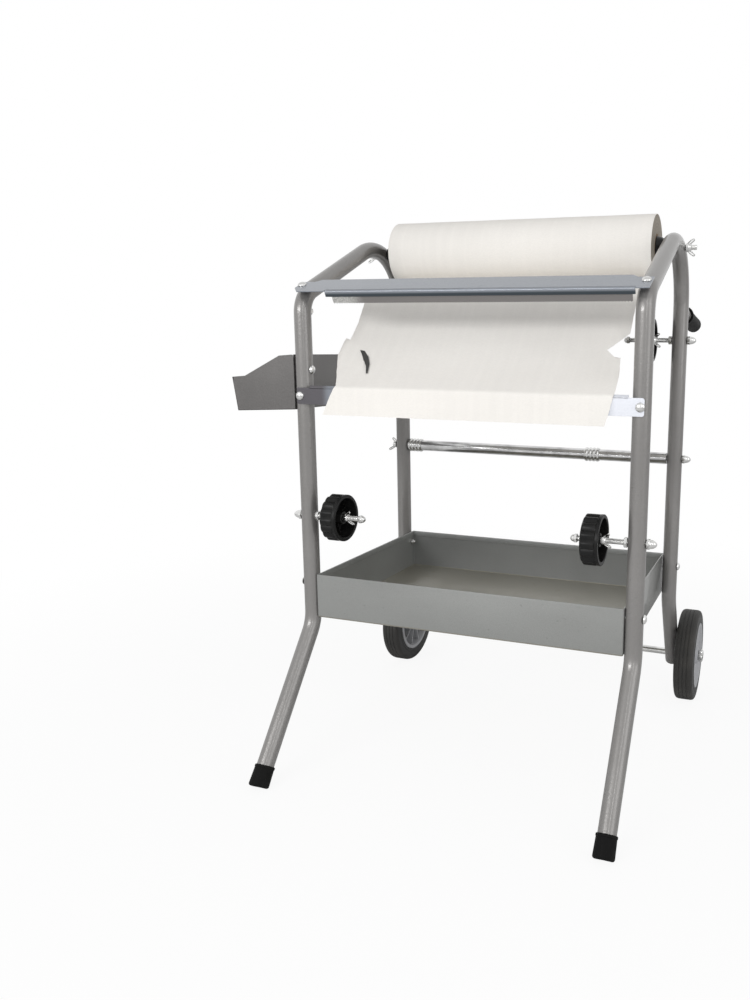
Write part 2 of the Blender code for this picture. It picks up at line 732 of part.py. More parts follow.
def bottom_tray():
    """A folded sheet tray between the legs, and the four bolts that hold it."""
    half = INNER_FACE - SEAT_GAP
    low = Vector((-half, TRAY_FRONT, TRAY_BOTTOM))
    high = Vector((half, TRAY_REAR, TRAY_TOP))
    tray = add_piece("bottom_tray", box(low, high), tray_paint())
    hollow = add_tool(box(low + Vector((SHEET, SHEET, SHEET)), high - Vector((SHEET, SHEET, -CUT_OVERRUN))))
    combine(tray, [hollow])
    shank = SHANK_RADIUS + SEAT_GAP
    grip = TUBE_DIAMETER + SHEET + SEAT_GAP * 3
    places = [("front", 0, TRAY_FRONT_BOLT_HEIGHT), ("rear", REAR_LEG_SETBACK, TRAY_REAR_BOLT_HEIGHT)]
    holes = []
    for side in (-1, 1):
        for place, setback, height in places:
            holes.append((Vector((side * half, setback, height)), X_AXIS, shank, CUT_OVERRUN))
            seat = Vector((side * (OUTER_FACE + SEAT_GAP), setback, height))
            name = "tray_bolt_" + place + "_" + side_name(side)
            add_piece(name, bolt_shape(grip), bright_plate(), seat, X_AXIS * -side)
    drill(tray, holes)


def cutter_nut_depth():
    """How far below the bar's underside the bend lets a nut sit flat."""
    bend_centre = TUBE_RADIUS + SEAT_GAP + FRONT_TOP_RADIUS
    inner_radius = FRONT_TOP_RADIUS - TUBE_RADIUS
    nut_edge = CUTTER_BOLT_BEFORE_BEND_END + NUT_CORNER
    return bend_centre - math.sqrt(inner_radius ** 2 - nut_edge ** 2) + SEAT_GAP


def cutter_bar():
    """The sloping bar on top of the frames, with its front flange and bolts."""
    origin = FRONT_TOP + SLOPE_NORMAL * (TUBE_RADIUS + SEAT_GAP)
    notch_floor = CUTTER_REAR_REACH - CUTTER_NOTCH_DEPTH
    notch_reach = CUTTER_NOTCH_WIDTH + CUTTER_NOTCH_SLOPE
    outline = [Vector((across, along, 0)) for across, along in (
        (CUTTER_LEFT + CUTTER_CORNER_WIDTH, -CUTTER_FRONT_REACH),
        (CUTTER_RIGHT, -CUTTER_FRONT_REACH),
        (CUTTER_RIGHT, notch_floor),
        (CUTTER_RIGHT - CUTTER_NOTCH_WIDTH, notch_floor),
        (CUTTER_RIGHT - notch_reach, CUTTER_REAR_REACH),
        (CUTTER_LEFT + notch_reach, CUTTER_REAR_REACH),
        (CUTTER_LEFT + CUTTER_NOTCH_WIDTH, notch_floor),
        (CUTTER_LEFT, notch_floor),
        (CUTTER_LEFT, CUTTER_CORNER_DEPTH - CUTTER_FRONT_REACH),
    )]
    bar = add_piece("cutter_bar", prism(outline, Z_AXIS * CUTTER_SHEET), bar_paint(), origin)
    bar.rotation_euler.x = SLOPE
    flange = add_tool(box(
        (CUTTER_LEFT + CUTTER_FLANGE_LEFT_INSET, -CUTTER_FRONT_REACH, -CUTTER_FLANGE_DEPTH),
        (CUTTER_RIGHT - CUTTER_FLANGE_RIGHT_INSET, CUTTER_SHEET - CUTTER_FRONT_REACH, CUTTER_SHEET / 2),
    ), origin)
    flange.rotation_euler.x = SLOPE
    combine(bar, [flange], "UNION")
    reach = CUTTER_SHEET + CUT_OVERRUN
    drill(bar, [(cutter_bolt_point(side), SLOPE_NORMAL, SHANK_RADIUS + SEAT_GAP, reach) for side in (-1, 1)])
    grip = cutter_nut_depth() + CUTTER_SHEET + SEAT_GAP
    for side in (-1, 1):
        seat = cutter_bolt_point(side) + SLOPE_NORMAL * (CUTTER_SHEET + SEAT_GAP)
        add_piece("cutter_bolt_" + side_name(side), bolt_shape(grip), bright_plate(), seat, -SLOPE_NORMAL)


def cutter_blade():
    """The serrated strip behind the flange."""
    front = CUTTER_SHEET - CUTTER_FRONT_REACH + SEAT_GAP
    left = CUTTER_LEFT + BLADE_LEFT_INSET
    right = CUTTER_RIGHT - BLADE_RIGHT_INSET
    count = round((right - left) / TOOTH_PITCH)
    pitch = (right - left) / count
    outline = [Vector((right, front, -SEAT_GAP)), Vector((left, front, -SEAT_GAP))]
    for tooth in range(count):
        valley = left + pitch * tooth
        outline.append(Vector((valley, front, TOOTH_DEPTH - BLADE_DEPTH)))
        outline.append(Vector((valley + pitch / 2, front, -BLADE_DEPTH)))
    outline.append(Vector((right, front, TOOTH_DEPTH - BLADE_DEPTH)))
    origin = FRONT_TOP + SLOPE_NORMAL * (TUBE_RADIUS + SEAT_GAP)
    blade = add_piece("cutter_blade", prism(outline, Y_AXIS * BLADE_SHEET), blade_steel(), origin)
    blade.rotation_euler.x = SLOPE


def lower_bar_middle():
    """The height of the lower bar's bolts."""
    return (LOWER_BAR_BOTTOM + LOWER_BAR_TOP) / 2


def lower_bar():
    """The strip across the front legs, with its sloping top lip and bolts."""
    rear = -(TUBE_RADIUS + SEAT_GAP)
    front = rear - SHEET
    end = HALF_SPACING + LOWER_BAR_END_REACH
    strip = box((-end, front, LOWER_BAR_BOTTOM), (end, rear, LOWER_BAR_TOP))
    bar = add_piece("lower_bar", strip, bar_paint())
    lip_end = INNER_FACE - LOWER_LIP_RELIEF
    diagonal = SHEET / math.sqrt(2)
    outline = [
        Vector((-lip_end, front, LOWER_BAR_TOP - SHEET)),
        Vector((-lip_end, front, LOWER_BAR_TOP)),
        Vector((-lip_end, front + LOWER_LIP_RISE, LOWER_BAR_TOP + LOWER_LIP_RISE)),
        Vector((-lip_end, front + LOWER_LIP_RISE + diagonal, LOWER_BAR_TOP + LOWER_LIP_RISE - diagonal)),
        Vector((-lip_end, rear, LOWER_BAR_TOP - SHEET)),
    ]
    combine(bar, [add_tool(prism(outline, X_AXIS * lip_end * 2))], "UNION")
    middle = lower_bar_middle()
    shank = SHANK_RADIUS + SEAT_GAP
    drill(bar, [(Vector((side * HALF_SPACING, front, middle)), Y_AXIS, shank, CUT_OVERRUN) for side in (-1, 1)])
    grip = TUBE_DIAMETER + SHEET + SEAT_GAP * 3
    for side in (-1, 1):
        seat = Vector((side * HALF_SPACING, front - SEAT_GAP, middle))
        add_piece("lower_bar_bolt_" + side_name(side), bolt_shape(grip), bright_plate(), seat, Y_AXIS)


def side_tray():
    """The folded tray outside the left frame, with its end plates and bolts."""
    wall = -(OUTER_FACE + SEAT_GAP)
    front = -SIDE_TRAY_PAST_LEG
    length = REAR_LEG_SETBACK + SIDE_TRAY_PAST_LEG * 2

    def points(places, setback):
        return [Vector((wall - out, setback, SIDE_TRAY_BOTTOM + up)) for out, up in places]

    outer_top = SIDE_LIP_HEIGHT
    outline = points((
        (0, 0),
        (0, SIDE_WALL_HEIGHT),
        (END_PLATE_TOP_STEP, SIDE_WALL_HEIGHT - END_PLATE_TOP_DROP),
        (SIDE_TRAY_WIDTH - END_PLATE_LIP_STEP, outer_top + END_PLATE_TOP_DROP),
        (SIDE_TRAY_WIDTH, outer_top),
        (SIDE_TRAY_FLOOR_WIDTH, -SIDE_FLOOR_DROP),
    ), front)
    tray = add_piece("side_tray", prism(outline, Y_AXIS * length), side_tray_paint())
    hollow = points((
        (SHEET, SHEET),
        (SHEET, SIDE_WALL_HEIGHT + CUT_OVERRUN),
        (SIDE_TRAY_WIDTH - SHEET, SIDE_WALL_HEIGHT + CUT_OVERRUN),
        (SIDE_TRAY_WIDTH - SHEET, outer_top),
        (SIDE_TRAY_FLOOR_WIDTH - SHEET, SHEET - SIDE_FLOOR_DROP),
    ), front + SHEET)
    combine(tray, [add_tool(prism(hollow, Y_AXIS * (length - SHEET * 2)))])
    shank = SHANK_RADIUS + SEAT_GAP
    grip = TUBE_DIAMETER + SHEET + SEAT_GAP * 3
    holes = []
    for place, setback in (("front", 0), ("rear", REAR_LEG_SETBACK)):
        holes.append((Vector((wall, setback, SIDE_TRAY_BOLT_HEIGHT)), X_AXIS, shank, CUT_OVERRUN))
        seat = Vector((-INNER_FACE + SEAT_GAP, setback, SIDE_TRAY_BOLT_HEIGHT))
        add_piece("side_tray_bolt_" + place, bolt_shape(grip), bright_plate(), seat, -X_AXIS)
    drill(tray, holes)


# Paper

def paper_roll():
    """The wound paper and its cardboard core."""
    middle = ROLL_CENTRE + X_AXIS * (ROLL_LEFT + ROLL_RIGHT) / 2
    half = (ROLL_RIGHT - ROLL_LEFT) / 2
    core = CORE_DIAMETER / 2
    for name, outer, inner, surface in (
        ("paper_roll", ROLL_DIAMETER / 2, core + SEAT_GAP, paper()),
        ("roll_core", core, core - CORE_WALL, cardboard()),
    ):
        shape = turned([(-half, inner), (-half, outer), (half, outer), (half, inner)], ROUND_SIDES, bored=True)
        add_piece(name, shape, surface, middle)


def core_cone(side):
    """The plug in the core that runs on the spindle and reaches to the frame."""
    roll_end = ROLL_LEFT if side < 0 else ROLL_RIGHT
    plug = CORE_DIAMETER / 2 - CORE_WALL - SEAT_GAP
    tip = CONE_TIP_DIAMETER / 2
    bore = ROD_RADIUS + RUNNING_GAP
    reach = INNER_FACE - abs(roll_end) - WHEEL_GAP
    shape = turned([
        (-CONE_INSERT, plug - CONE_TAPER),
        (0, plug),
        (reach / 2, (plug + tip) / 2),
        (reach, tip),
        (reach, bore),
        (-CONE_INSERT, bore),
    ], SLEEVE_SIDES, bored=True)
    seat = ROLL_CENTRE + X_AXIS * roll_end
    add_piece("core_cone_" + side_name(side), shape, black_plastic(), seat, X_AXIS * side)


def roll_spindle():
    """The threaded rod through both frames, with a wing nut outside each."""
    end = OUTER_FACE + SPINDLE_PAST_FRAME
    shape = turned([(-end, ROD_RADIUS), (end, ROD_RADIUS)])
    add_piece("roll_spindle", shape, bright_plate(), ROLL_CENTRE)
    for side in (-1, 1):
        seat = ROLL_CENTRE + X_AXIS * side * (OUTER_FACE + SEAT_GAP)
        wing_nut("roll_wing_nut_" + side_name(side), seat, X_AXIS * side, math.pi / 8)


def web_profile():
    """The top face of the drawn paper, from under the roll over its nose and the lower bar to its lower edge."""
    front = -(TUBE_RADIUS + SEAT_GAP * 2 + SHEET + WEB_THICKNESS)
    bend = Vector((0, front, LOWER_BAR_TOP + WEB_BEND_RISE))
    start = ROLL_CENTRE - Z_AXIS * (ROLL_DIAMETER / 2 + SEAT_GAP)
    nose = Vector((0, WEB_NOSE_SETBACK, start.z))
    fall = []
    for step in range(2, WEB_STEPS + 1):
        place = step / WEB_STEPS
        fall.append(nose.lerp(bend, place) - Z_AXIS * (WEB_SAG * 4 * place * (1 - place)))
    return bent_path([start, nose, fall[0]], [WEB_NOSE_RADIUS]) + fall[1:] + [Vector((0, front, WEB_BOTTOM))]


def thickened(points, thickness):
    """Close an open outline across X by adding its rear face."""
    rear = []
    for place, point in enumerate(points):
        ahead = points[min(place + 1, len(points) - 1)]
        behind = points[max(place - 1, 0)]
        across = X_AXIS.cross(ahead - behind).normalized()
        rear.append(point + across * thickness)
    return points + rear[::-1]


def web_points(shares, side, setback):
    """Place torn edge points, from their shares, on one side."""
    return [
        Vector((WEB_MIDDLE + side * out * WEB_HALF, setback, WEB_BOTTOM + up * TORN_HEIGHT)) for out, up in shares
    ]


def paper_web():
    """The paper drawn off the roll, torn at both edges and slit near the left one."""
    edge = WEB_HALF + WEB_BULGE
    outline = [point + X_AXIS * (WEB_MIDDLE - edge) for point in thickened(web_profile(), WEB_THICKNESS)]
    web = add_piece("paper_web", prism(outline, X_AXIS * edge * 2), paper())
    setback = -(TUBE_DIAMETER + CUT_OVERRUN)
    run = Y_AXIS * (REAR_LEG_SETBACK - setback)
    outside = edge + CUT_OVERRUN
    top = REAR_TOP_HEIGHT + CUT_OVERRUN
    tools = [add_tool(prism(web_points(SLIT_SHARES, -1, setback), run))]
    for side, shares in ((1, RIGHT_EDGE_SHARES), (-1, LEFT_EDGE_SHARES)):
        torn = web_points(shares, side, setback)
        beyond = [
            Vector((torn[-1].x, setback, top)),
            Vector((WEB_MIDDLE + side * outside, setback, top)),
            Vector((WEB_MIDDLE + side * outside, setback, WEB_BOTTOM - CUT_OVERRUN)),
            Vector((torn[0].x, setback, WEB_BOTTOM - CUT_OVERRUN)),
        ]
        tools.append(add_tool(prism(torn + beyond, run)))
    combine(web, tools)


# Roller bar

def roller_bar():
    """The plated tube between the rear legs that a narrow roll would hang on."""
    radius = ROLLER_DIAMETER / 2
    bore = ROD_RADIUS + RUNNING_GAP
    middle = Vector((0, REAR_LEG_SETBACK, ROLLER_HEIGHT))
    shape = turned([
        (-ROLLER_HALF, bore),
        (-ROLLER_HALF, radius),
        (ROLLER_HALF, radius),
        (ROLLER_HALF, bore),
        (ROLLER_HALF - ROLLER_PLUG, bore),
        (ROLLER_HALF - ROLLER_PLUG, radius - ROLLER_WALL),
        (ROLLER_PLUG - ROLLER_HALF, radius - ROLLER_WALL),
        (ROLLER_PLUG - ROLLER_HALF, bore),
    ], SLEEVE_SIDES, bored=True)
    add_piece("roller_bar", shape, bright_plate(), middle)
    left_collar_x = LEFT_COLLAR_INSET + COLLAR_RIB_PITCH * COLLAR_RIBS / 2 - ROLLER_HALF
    for side, place in ((-1, left_collar_x), (1, RIGHT_COLLAR_X)):
        add_piece("roller_collar_" + side_name(side), collar_shape(), bright_plate(), middle + X_AXIS * place)


def collar_shape():
    """A ribbed collar that slides on the roller bar."""
    root = COLLAR_ROOT_DIAMETER / 2
    crest = COLLAR_DIAMETER / 2
    bore = ROLLER_DIAMETER / 2 + SEAT_GAP
    half = COLLAR_RIB_PITCH * COLLAR_RIBS / 2
    stations = [(-half, bore), (-half, root)]
    for rib in range(COLLAR_RIBS):
        start = COLLAR_RIB_PITCH * rib - half
        stations.append((start + COLLAR_RIB_PITCH / 2, crest))
        stations.append((start + COLLAR_RIB_PITCH, root))
    stations.append((half, bore))
    return turned(stations, SLEEVE_SIDES, bored=True)


def roller_bolts():
    """The wing bolt and the cap bolt that carry the roller bar."""
    seat = OUTER_FACE + SEAT_GAP
    middle = Vector((0, REAR_LEG_SETBACK, ROLLER_HEIGHT))
    reach = TUBE_DIAMETER + SEAT_GAP + ROLLER_END_GAP + ROLLER_BOLT_INSERT
    hub = WING_HUB_DIAMETER / 2
    body = turned([
        (-reach, ROD_RADIUS),
        (0, ROD_RADIUS),
        (0, hub),
        (WING_HUB_LENGTH, hub * math.cos(math.pi / 6)),
    ])
    wing_piece("roller_wing_bolt", body, middle - X_AXIS * seat, -X_AXIS, math.pi / 5)
    flats = ROD_NUT_FLATS / 2
    shape = turned([
        (-reach, ROD_RADIUS),
        (0, ROD_RADIUS),
        (0, flats, hex_reach),
        (ROD_NUT_HEIGHT, flats, hex_reach),
        (ROD_NUT_HEIGHT, flats - NUT_STEP),
        (CAP_NUT_LENGTH, flats / 2),
    ])
    add_piece("roller_cap_bolt", shape, bright_plate(), middle + X_AXIS * seat, X_AXIS)


# Tape hubs

def hub_shape():
    """A lobed cup with its closed face at -X and its hollow towards +X."""
    half = HUB_WIDTH / 2
    tip = HUB_DIAMETER / 2
    boss = HUB_BOSS_DIAMETER / 2
    bore = ROD_RADIUS + RUNNING_GAP
    inside = tip - HUB_LOBE_DEPTH - HUB_WALL
    return turned([
        (-half, bore),
        (-half, tip - HUB_WALL, lobed_reach),
        (HUB_WALL / 2 - half, tip, lobed_reach),
        (half - HUB_LIP, tip, lobed_reach),
        (half - HUB_LIP, tip),
        (half, tip),
        (half, inside),
        (HUB_WALL - half, inside),
        (HUB_WALL - half, boss),
        (half - HUB_BOSS_RECESS, boss),
        (half - HUB_BOSS_RECESS, bore),
    ], HUB_LOBES * 2, bored=True)


def spindle_shape(start, end, nuts):
    """A rod from one place to another along X, with lock nuts run up on it at the places given."""
    flats = ROD_NUT_FLATS / 2
    stations = [(start, ROD_RADIUS)]
    for place in sorted(nuts):
        stations += [
            (place, ROD_RADIUS),
            (place, flats, hex_reach),
            (place + ROD_NUT_HEIGHT, flats, hex_reach),
            (place + ROD_NUT_HEIGHT, ROD_RADIUS),
        ]
    stations.append((end, ROD_RADIUS))
    return turned(stations)


def tape_hub(name, side, setback, height, hub_x, stub):
    """One hub on its threaded spindle through a leg, with its nuts."""
    middle = Vector((hub_x, setback, height))
    depth = END_NUT_LENGTH - END_NUT_TOP
    rod_end = hub_x - side * ((HUB_TO_NUT_END if side > 0 else HUB_TO_WING_END) + stub + depth)
    leg_nut = side * (INNER_FACE - SEAT_GAP) - (ROD_NUT_HEIGHT if side > 0 else 0) - hub_x
    face_nut = -HUB_TO_NUT_END
    inner = rod_end - hub_x
    outer = side * (OUTER_FACE + CAP_NUT_LENGTH - CAP_NUT_TOP) - hub_x
    shape = spindle_shape(min(inner, outer), max(inner, outer), [leg_nut, face_nut])
    add_piece(name + "_spindle", shape, bright_plate(), middle)
    add_piece(name + "_hub", hub_shape(), black_plastic(), middle)

    wing_seat = middle + X_AXIS * (HUB_WIDTH / 2 - HUB_BOSS_RECESS + SEAT_GAP)
    wing_nut(name + "_wing_nut", wing_seat, X_AXIS, math.pi / 6)

    bore = ROD_RADIUS + SEAT_GAP
    shape = cap_nut_shape(ROD_NUT_FLATS, CAP_NUT_LENGTH, CAP_NUT_TOP - SEAT_GAP * 2, bore, ROD_NUT_HEIGHT)
    cap_seat = Vector((side * (OUTER_FACE + SEAT_GAP), setback, height))
    add_piece(name + "_cap_nut", shape, bright_plate(), cap_seat, X_AXIS * side)

    shape = cap_nut_shape(END_NUT_FLATS, END_NUT_LENGTH, END_NUT_TOP - SEAT_GAP, bore, END_NUT_SKIRT)
    end_seat = Vector((rod_end + side * depth, setback, height))
    add_piece(name + "_end_nut", shape, bright_plate(), end_seat, X_AXIS * -side)


def tape_hubs():
    """The two hubs on the front legs and the one on the right rear leg."""
    tape_hub("left_tape", -1, 0, LOWER_HUB_HEIGHT, LEFT_HUB_X, LEFT_ROD_STUB)
    tape_hub("right_tape", 1, 0, LOWER_HUB_HEIGHT, RIGHT_HUB_X, RIGHT_ROD_STUB)
    tape_hub("upper_tape", 1, REAR_LEG_SETBACK, UPPER_HUB_HEIGHT, UPPER_HUB_X, UPPER_ROD_STUB)


def centre_on_floor():
    """Hang every piece on one empty, moved so that the whole is centred over the origin."""
    stand = bpy.data.objects.new("dispenser", None)
    bpy.context.collection.objects.link(stand)
    pieces = [piece for piece in bpy.data.objects if piece.type == "MESH"]
    bpy.context.view_layer.update()
    corners = [piece.matrix_world @ vertex.co for piece in pieces for vertex in piece.data.vertices]
    middle = Vector((
        (min(corner.x for corner in corners) + max(corner.x for corner in corners)) / 2,
        (min(corner.y for corner in corners) + max(corner.y for corner in corners)) / 2,
        0,
    ))
    for piece in pieces:
        piece.data.shade_smooth()
        piece.data.set_sharp_from_angle(angle=math.pi / 6)
        piece.parent = stand
    stand.location = -middle


def main():
    """Build the whole dispenser in an empty scene."""
    for leftover in list(bpy.data.objects):
        bpy.data.objects.remove(leftover)
    for side in (-1, 1):
        side_frame(side)
        foot(side)
        handle(side)
        wheel(side)
        core_cone(side)
    axle()
    bottom_tray()
    cutter_bar()
    cutter_blade()
    lower_bar()
    side_tray()
    paper_roll()
    roll_spindle()
    paper_web()
    roller_bar()
    roller_bolts()
    tape_hubs()
    centre_on_floor()


if __name__ == "__main__":
    main()
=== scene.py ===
import math

import bmesh
import bpy
from bpy.props import FloatProperty, FloatVectorProperty, PointerProperty
from bpy.types import Operator, Panel, PropertyGroup
from mathutils import Matrix, Quaternion, Vector, noise


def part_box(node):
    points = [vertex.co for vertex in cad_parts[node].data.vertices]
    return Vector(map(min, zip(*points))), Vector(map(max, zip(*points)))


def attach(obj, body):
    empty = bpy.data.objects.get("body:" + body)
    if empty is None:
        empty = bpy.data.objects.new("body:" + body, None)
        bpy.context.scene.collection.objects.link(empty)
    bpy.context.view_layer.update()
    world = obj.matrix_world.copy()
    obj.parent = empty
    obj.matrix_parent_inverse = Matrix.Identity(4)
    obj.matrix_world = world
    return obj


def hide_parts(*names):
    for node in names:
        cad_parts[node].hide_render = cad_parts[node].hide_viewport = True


bl_info = {
    "name": "Masking paper dispenser",
    "version": (1, 0, 0),
    "blender": (4, 5, 0),
    "location": "3D View > Sidebar > Dispenser",
    "description": "Dresses the dispenser with detailed pieces, finishes and a studio",
    "category": "Object",
}

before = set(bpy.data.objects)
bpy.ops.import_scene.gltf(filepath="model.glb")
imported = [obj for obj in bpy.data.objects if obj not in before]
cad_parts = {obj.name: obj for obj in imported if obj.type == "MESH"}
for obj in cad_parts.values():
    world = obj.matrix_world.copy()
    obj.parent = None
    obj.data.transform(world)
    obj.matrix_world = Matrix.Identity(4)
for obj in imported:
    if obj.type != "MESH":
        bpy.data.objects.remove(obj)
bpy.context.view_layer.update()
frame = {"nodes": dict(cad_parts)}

MM = 0.001
DEGREE = math.pi / 180
QUARTER = math.pi / 2
X_AXIS = Vector((1, 0, 0))
Y_AXIS = Vector((0, 1, 0))
Z_AXIS = Vector((0, 0, 1))
# Left is -1 and right is 1
SIDES = (-1, 1)


def low_corner(node):
    """The least X, Y and Z of a CAD node's box."""
    return Vector(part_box(node)[0])


def high_corner(node):
    """The greatest X, Y and Z of a CAD node's box."""
    return Vector(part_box(node)[1])


def centre(node):
    """The middle of a CAD node's box."""
    return (low_corner(node) + high_corner(node)) / 2


def half_size(node):
    """Half the size of a CAD node's box."""
    return (high_corner(node) - low_corner(node)) / 2


# The pieces are placed from midway between the frames, on the front legs, at the floor.
ORIGIN = Vector(((centre("frame_left").x + centre("frame_right").x) / 2, centre("left_tape_hub").y, 0))


def spot(node):
    """The middle of a CAD node, from the origin of the pieces."""
    return centre(node) - ORIGIN


def corners_of(node):
    """Both corners of a CAD node, from the origin of the pieces."""
    return low_corner(node) - ORIGIN, high_corner(node) - ORIGIN


def end_of(node, side):
    """Where a CAD node ends along X on a side, from the origin of the pieces."""
    low, high = corners_of(node)
    return high.x if side > 0 else low.x


# Frame
TUBE_RADIUS = half_size("frame_left").x
HALF_SPACING = (centre("frame_right").x - centre("frame_left").x) / 2
INNER_FACE = HALF_SPACING - TUBE_RADIUS
OUTER_FACE = HALF_SPACING + TUBE_RADIUS
SEAT_GAP = 0.3 * MM
REAR_LEG = spot("roller_bar").y
BEND_HEIGHT = 203.5 * MM
FRONT_TOP_HEIGHT = 697.5 * MM
REAR_TOP_HEIGHT = 839.6 * MM
SLOPE = math.atan2(REAR_TOP_HEIGHT - FRONT_TOP_HEIGHT, REAR_LEG)
UPHILL = Vector((0, math.cos(SLOPE), math.sin(SLOPE)))
SLOPE_NORMAL = Vector((0, -math.sin(SLOPE), math.cos(SLOPE)))
FRONT_TOP = Vector((0, 0, FRONT_TOP_HEIGHT))
FRONT_BEND = Vector((0, 0, BEND_HEIGHT))
REAR_BEND = Vector((0, REAR_LEG, BEND_HEIGHT))
FOOT_SETBACK = 152.2 * MM
FOOT_RISE = 3 * MM
FOOT_END = Vector((0, -FOOT_SETBACK, FOOT_RISE))
FOOT_DIRECTION = (FRONT_BEND - FOOT_END).normalized()
FOOT_BASE = 8 * MM
AXLE_POINT = spot("axle")
TUBE_PAST_AXLE = 20 * MM
KNEE_RADIUS = 55 * MM
FRONT_TOP_RADIUS = 40 * MM
REAR_TOP_RADIUS = 94 * MM
BEND_RADII = (KNEE_RADIUS, FRONT_TOP_RADIUS, REAR_TOP_RADIUS, KNEE_RADIUS)

# Handles and wheels
HANDLE_DROOP = 5.5 * DEGREE
HANDLE_HEIGHT = 689 * MM
HANDLE_RADIUS = 11 * MM
HANDLE_BARE_LENGTH = 30 * MM
GRIP_LENGTH = 130 * MM
GRIP_CAP = 6 * MM
WHEEL_HALF_WIDTH = 17.5 * MM
TREAD_RADIUS = AXLE_POINT.z

# Fasteners
ROD_RADIUS = 4 * MM
RUNNING_GAP = 0.4 * MM
THREAD_PITCH = 1.25 * MM
THREAD_DEPTH = 0.55 * MM
THREAD_STEPS = 5
THREAD_OVERLAP = 0.5 * MM
SHANK_RADIUS = 3 * MM
SHANK_TIP = 3 * MM
HEAD_RADIUS = 6.5 * MM
HEAD_HEIGHT = 4 * MM
NUT_FLATS = 10 * MM
NUT_HEIGHT = 5 * MM
ROD_NUT_FLATS = 13 * MM
ROD_NUT_HEIGHT = 5 * MM
CAP_NUT_LENGTH = 14 * MM
CAP_NUT_DOME = 6.1 * MM
CAP_NUT_BORE = 8.6 * MM
END_NUT_FLATS = 11 * MM
END_NUT_HEIGHT = 4.5 * MM
END_NUT_LENGTH = 10 * MM
END_NUT_DOME = 5.1 * MM
END_NUT_BORE = 5.2 * MM
WING_HUB_RADIUS = 6.5 * MM
WING_HUB_LENGTH = 8 * MM
WING_SPAN = 28 * MM
WING_RISE = 14 * MM
WING_THICKNESS = 2 * MM
BAR_BOLT_SEAT = 18 * MM
BAR_BOLT_REACH = TUBE_RADIUS * 2 + BAR_BOLT_SEAT
CUTTER_BOLT_SETBACK = 17 * MM
SPINDLE_THREAD = 46 * MM
# The wire of one wing: (share of its rise, share of half the span)
WING_SHARES = (
    (0.15, 0.38), (0.36, 0.60), (0.62, 0.84), (0.84, 0.98), (0.96, 0.98),
    (1.0, 0.88), (0.94, 0.76), (0.74, 0.60), (0.45, 0.36),
)

# Sheet metal
SHEET = 1.2 * MM
CUTTER_SHEET = 1.5 * MM
SMALLEST_RADIUS = 0.15 * MM
FINE_BEVEL = 0.25 * MM
BEVEL = 0.3 * MM
WIDE_BEVEL = 0.35 * MM

# Tape hubs
HUB_HALF_WIDTH = 13 * MM
HUB_RADIUS = 35.5 * MM
HUB_RECESS = 4 * MM

# Paper, its torn edges from the bottom up: (share of half the width, share of the torn height)
TORN_HEIGHT = 121 * MM
WEB_SAG = 14 * MM
NOSE_SETBACK = 130 * MM
NOSE_RADIUS = 60 * MM
JAG_SPACING = 3 * MM
JAG = 0.5 * MM
SLIT_JAG = 0.3 * MM
BEYOND_EDGE = 10 * MM
RIGHT_EDGE_SHARES = (
    (0.937, 0.0), (0.968, 0.176), (0.992, 0.364), (0.990, 0.55), (0.976, 0.731),
    (0.933, 0.740), (0.875, 0.814), (0.91, 0.86), (1.0, 1.0), (1.0, 1.3),
)
LEFT_EDGE_SHARES = (
    (1.0, 0.0), (0.951, 0.188), (0.902, 0.355), (0.964, 0.527), (1.012, 0.713), (1.004, 0.921),
    (0.959, 0.903), (0.965, 1.04), (0.973, 1.186), (0.979, 1.434), (1.0, 1.9),
)
SLIT_SHARES = (
    (0.850, 0.756), (0.822, 0.706), (0.794, 0.654), (0.758, 0.586), (0.732, 0.512), (0.722, 0.512),
    (0.742, 0.612), (0.774, 0.688), (0.816, 0.748),
)

# Depths and spacings of the grain in the finishes, and where a finish changes on its piece: dust on the tyre
# tread, painted shade on the cutter flange and on the bottom tray's rear wall, and a warmer tone on the tray
# floor
POLISH_GRAIN = 0.03 * MM
FIBRE_GRAIN = 0.08 * MM
MOULD_GRAIN = 0.12 * MM
PAINT_PEEL = 0.16 * MM
SHEET_GRAIN = 0.2 * MM
TYRE_GRAIN = 0.22 * MM
PAPER_COCKLE = 1.1 * MM
PAPER_LAYER = 0.62 * MM
LAYER_WOBBLE = 0.4 * MM
DISC_RING = 1.7 * MM
TREAD_DUST_START = 70 * MM
TREAD_DUST_END = 79 * MM
# Painted shade: below these heights the cutter flange is painted dark navy, a painted dark reflection
FLANGE_PAINTED_SHADE_START = -0.5 * MM
FLANGE_PAINTED_SHADE_END = -4.5 * MM
# Painted shade: from these depths on, the bottom tray's rear wall is painted dark blue-grey
REAR_WALL_PAINTED_SHADE_START = 150 * MM
REAR_WALL_PAINTED_SHADE_END = 180 * MM
TRAY_FLOOR_START = -31 * MM
TRAY_FLOOR_END = -32 * MM


# Settings that a user would change

def size_setting(name, description, default):
    return FloatProperty(name=name, description=description, default=default, unit="LENGTH")


def power_setting(name, description, default):
    return FloatProperty(name=name, description=description, default=default, unit="POWER")


def colour_setting(name, description, *default):
    return FloatVectorProperty(name=name, description=description, default=default, subtype="COLOR")


class DispenserSizes(PropertyGroup):
    """Sizes of the detailed pieces."""

    tube_wall: size_setting("Tube wall", "Wall of the frame tubes", 1.5 * MM)
    weld_radius: size_setting("Weld", "Radius of the bead where a handle meets its leg", 1.7 * MM)
    hem_depth: size_setting("Hem", "How far the folded hem of the bottom tray reaches down", 9 * MM)
    tread_groove: size_setting("Tread groove", "Depth of the grooves round the tyres", 0.8 * MM)
    paper_thickness: size_setting("Paper", "Thickness of the hanging paper", 0.35 * MM)
    paper_wave: size_setting("Paper wave", "Height of the soft waves in the paper", 0.9 * MM)
    paper_curl: size_setting("Paper curl", "How far torn edges curl forward", 5 * MM)
    hub_ribs: size_setting("Hub ribs", "Height of the ribs round the tape hubs", 2.5 * MM)


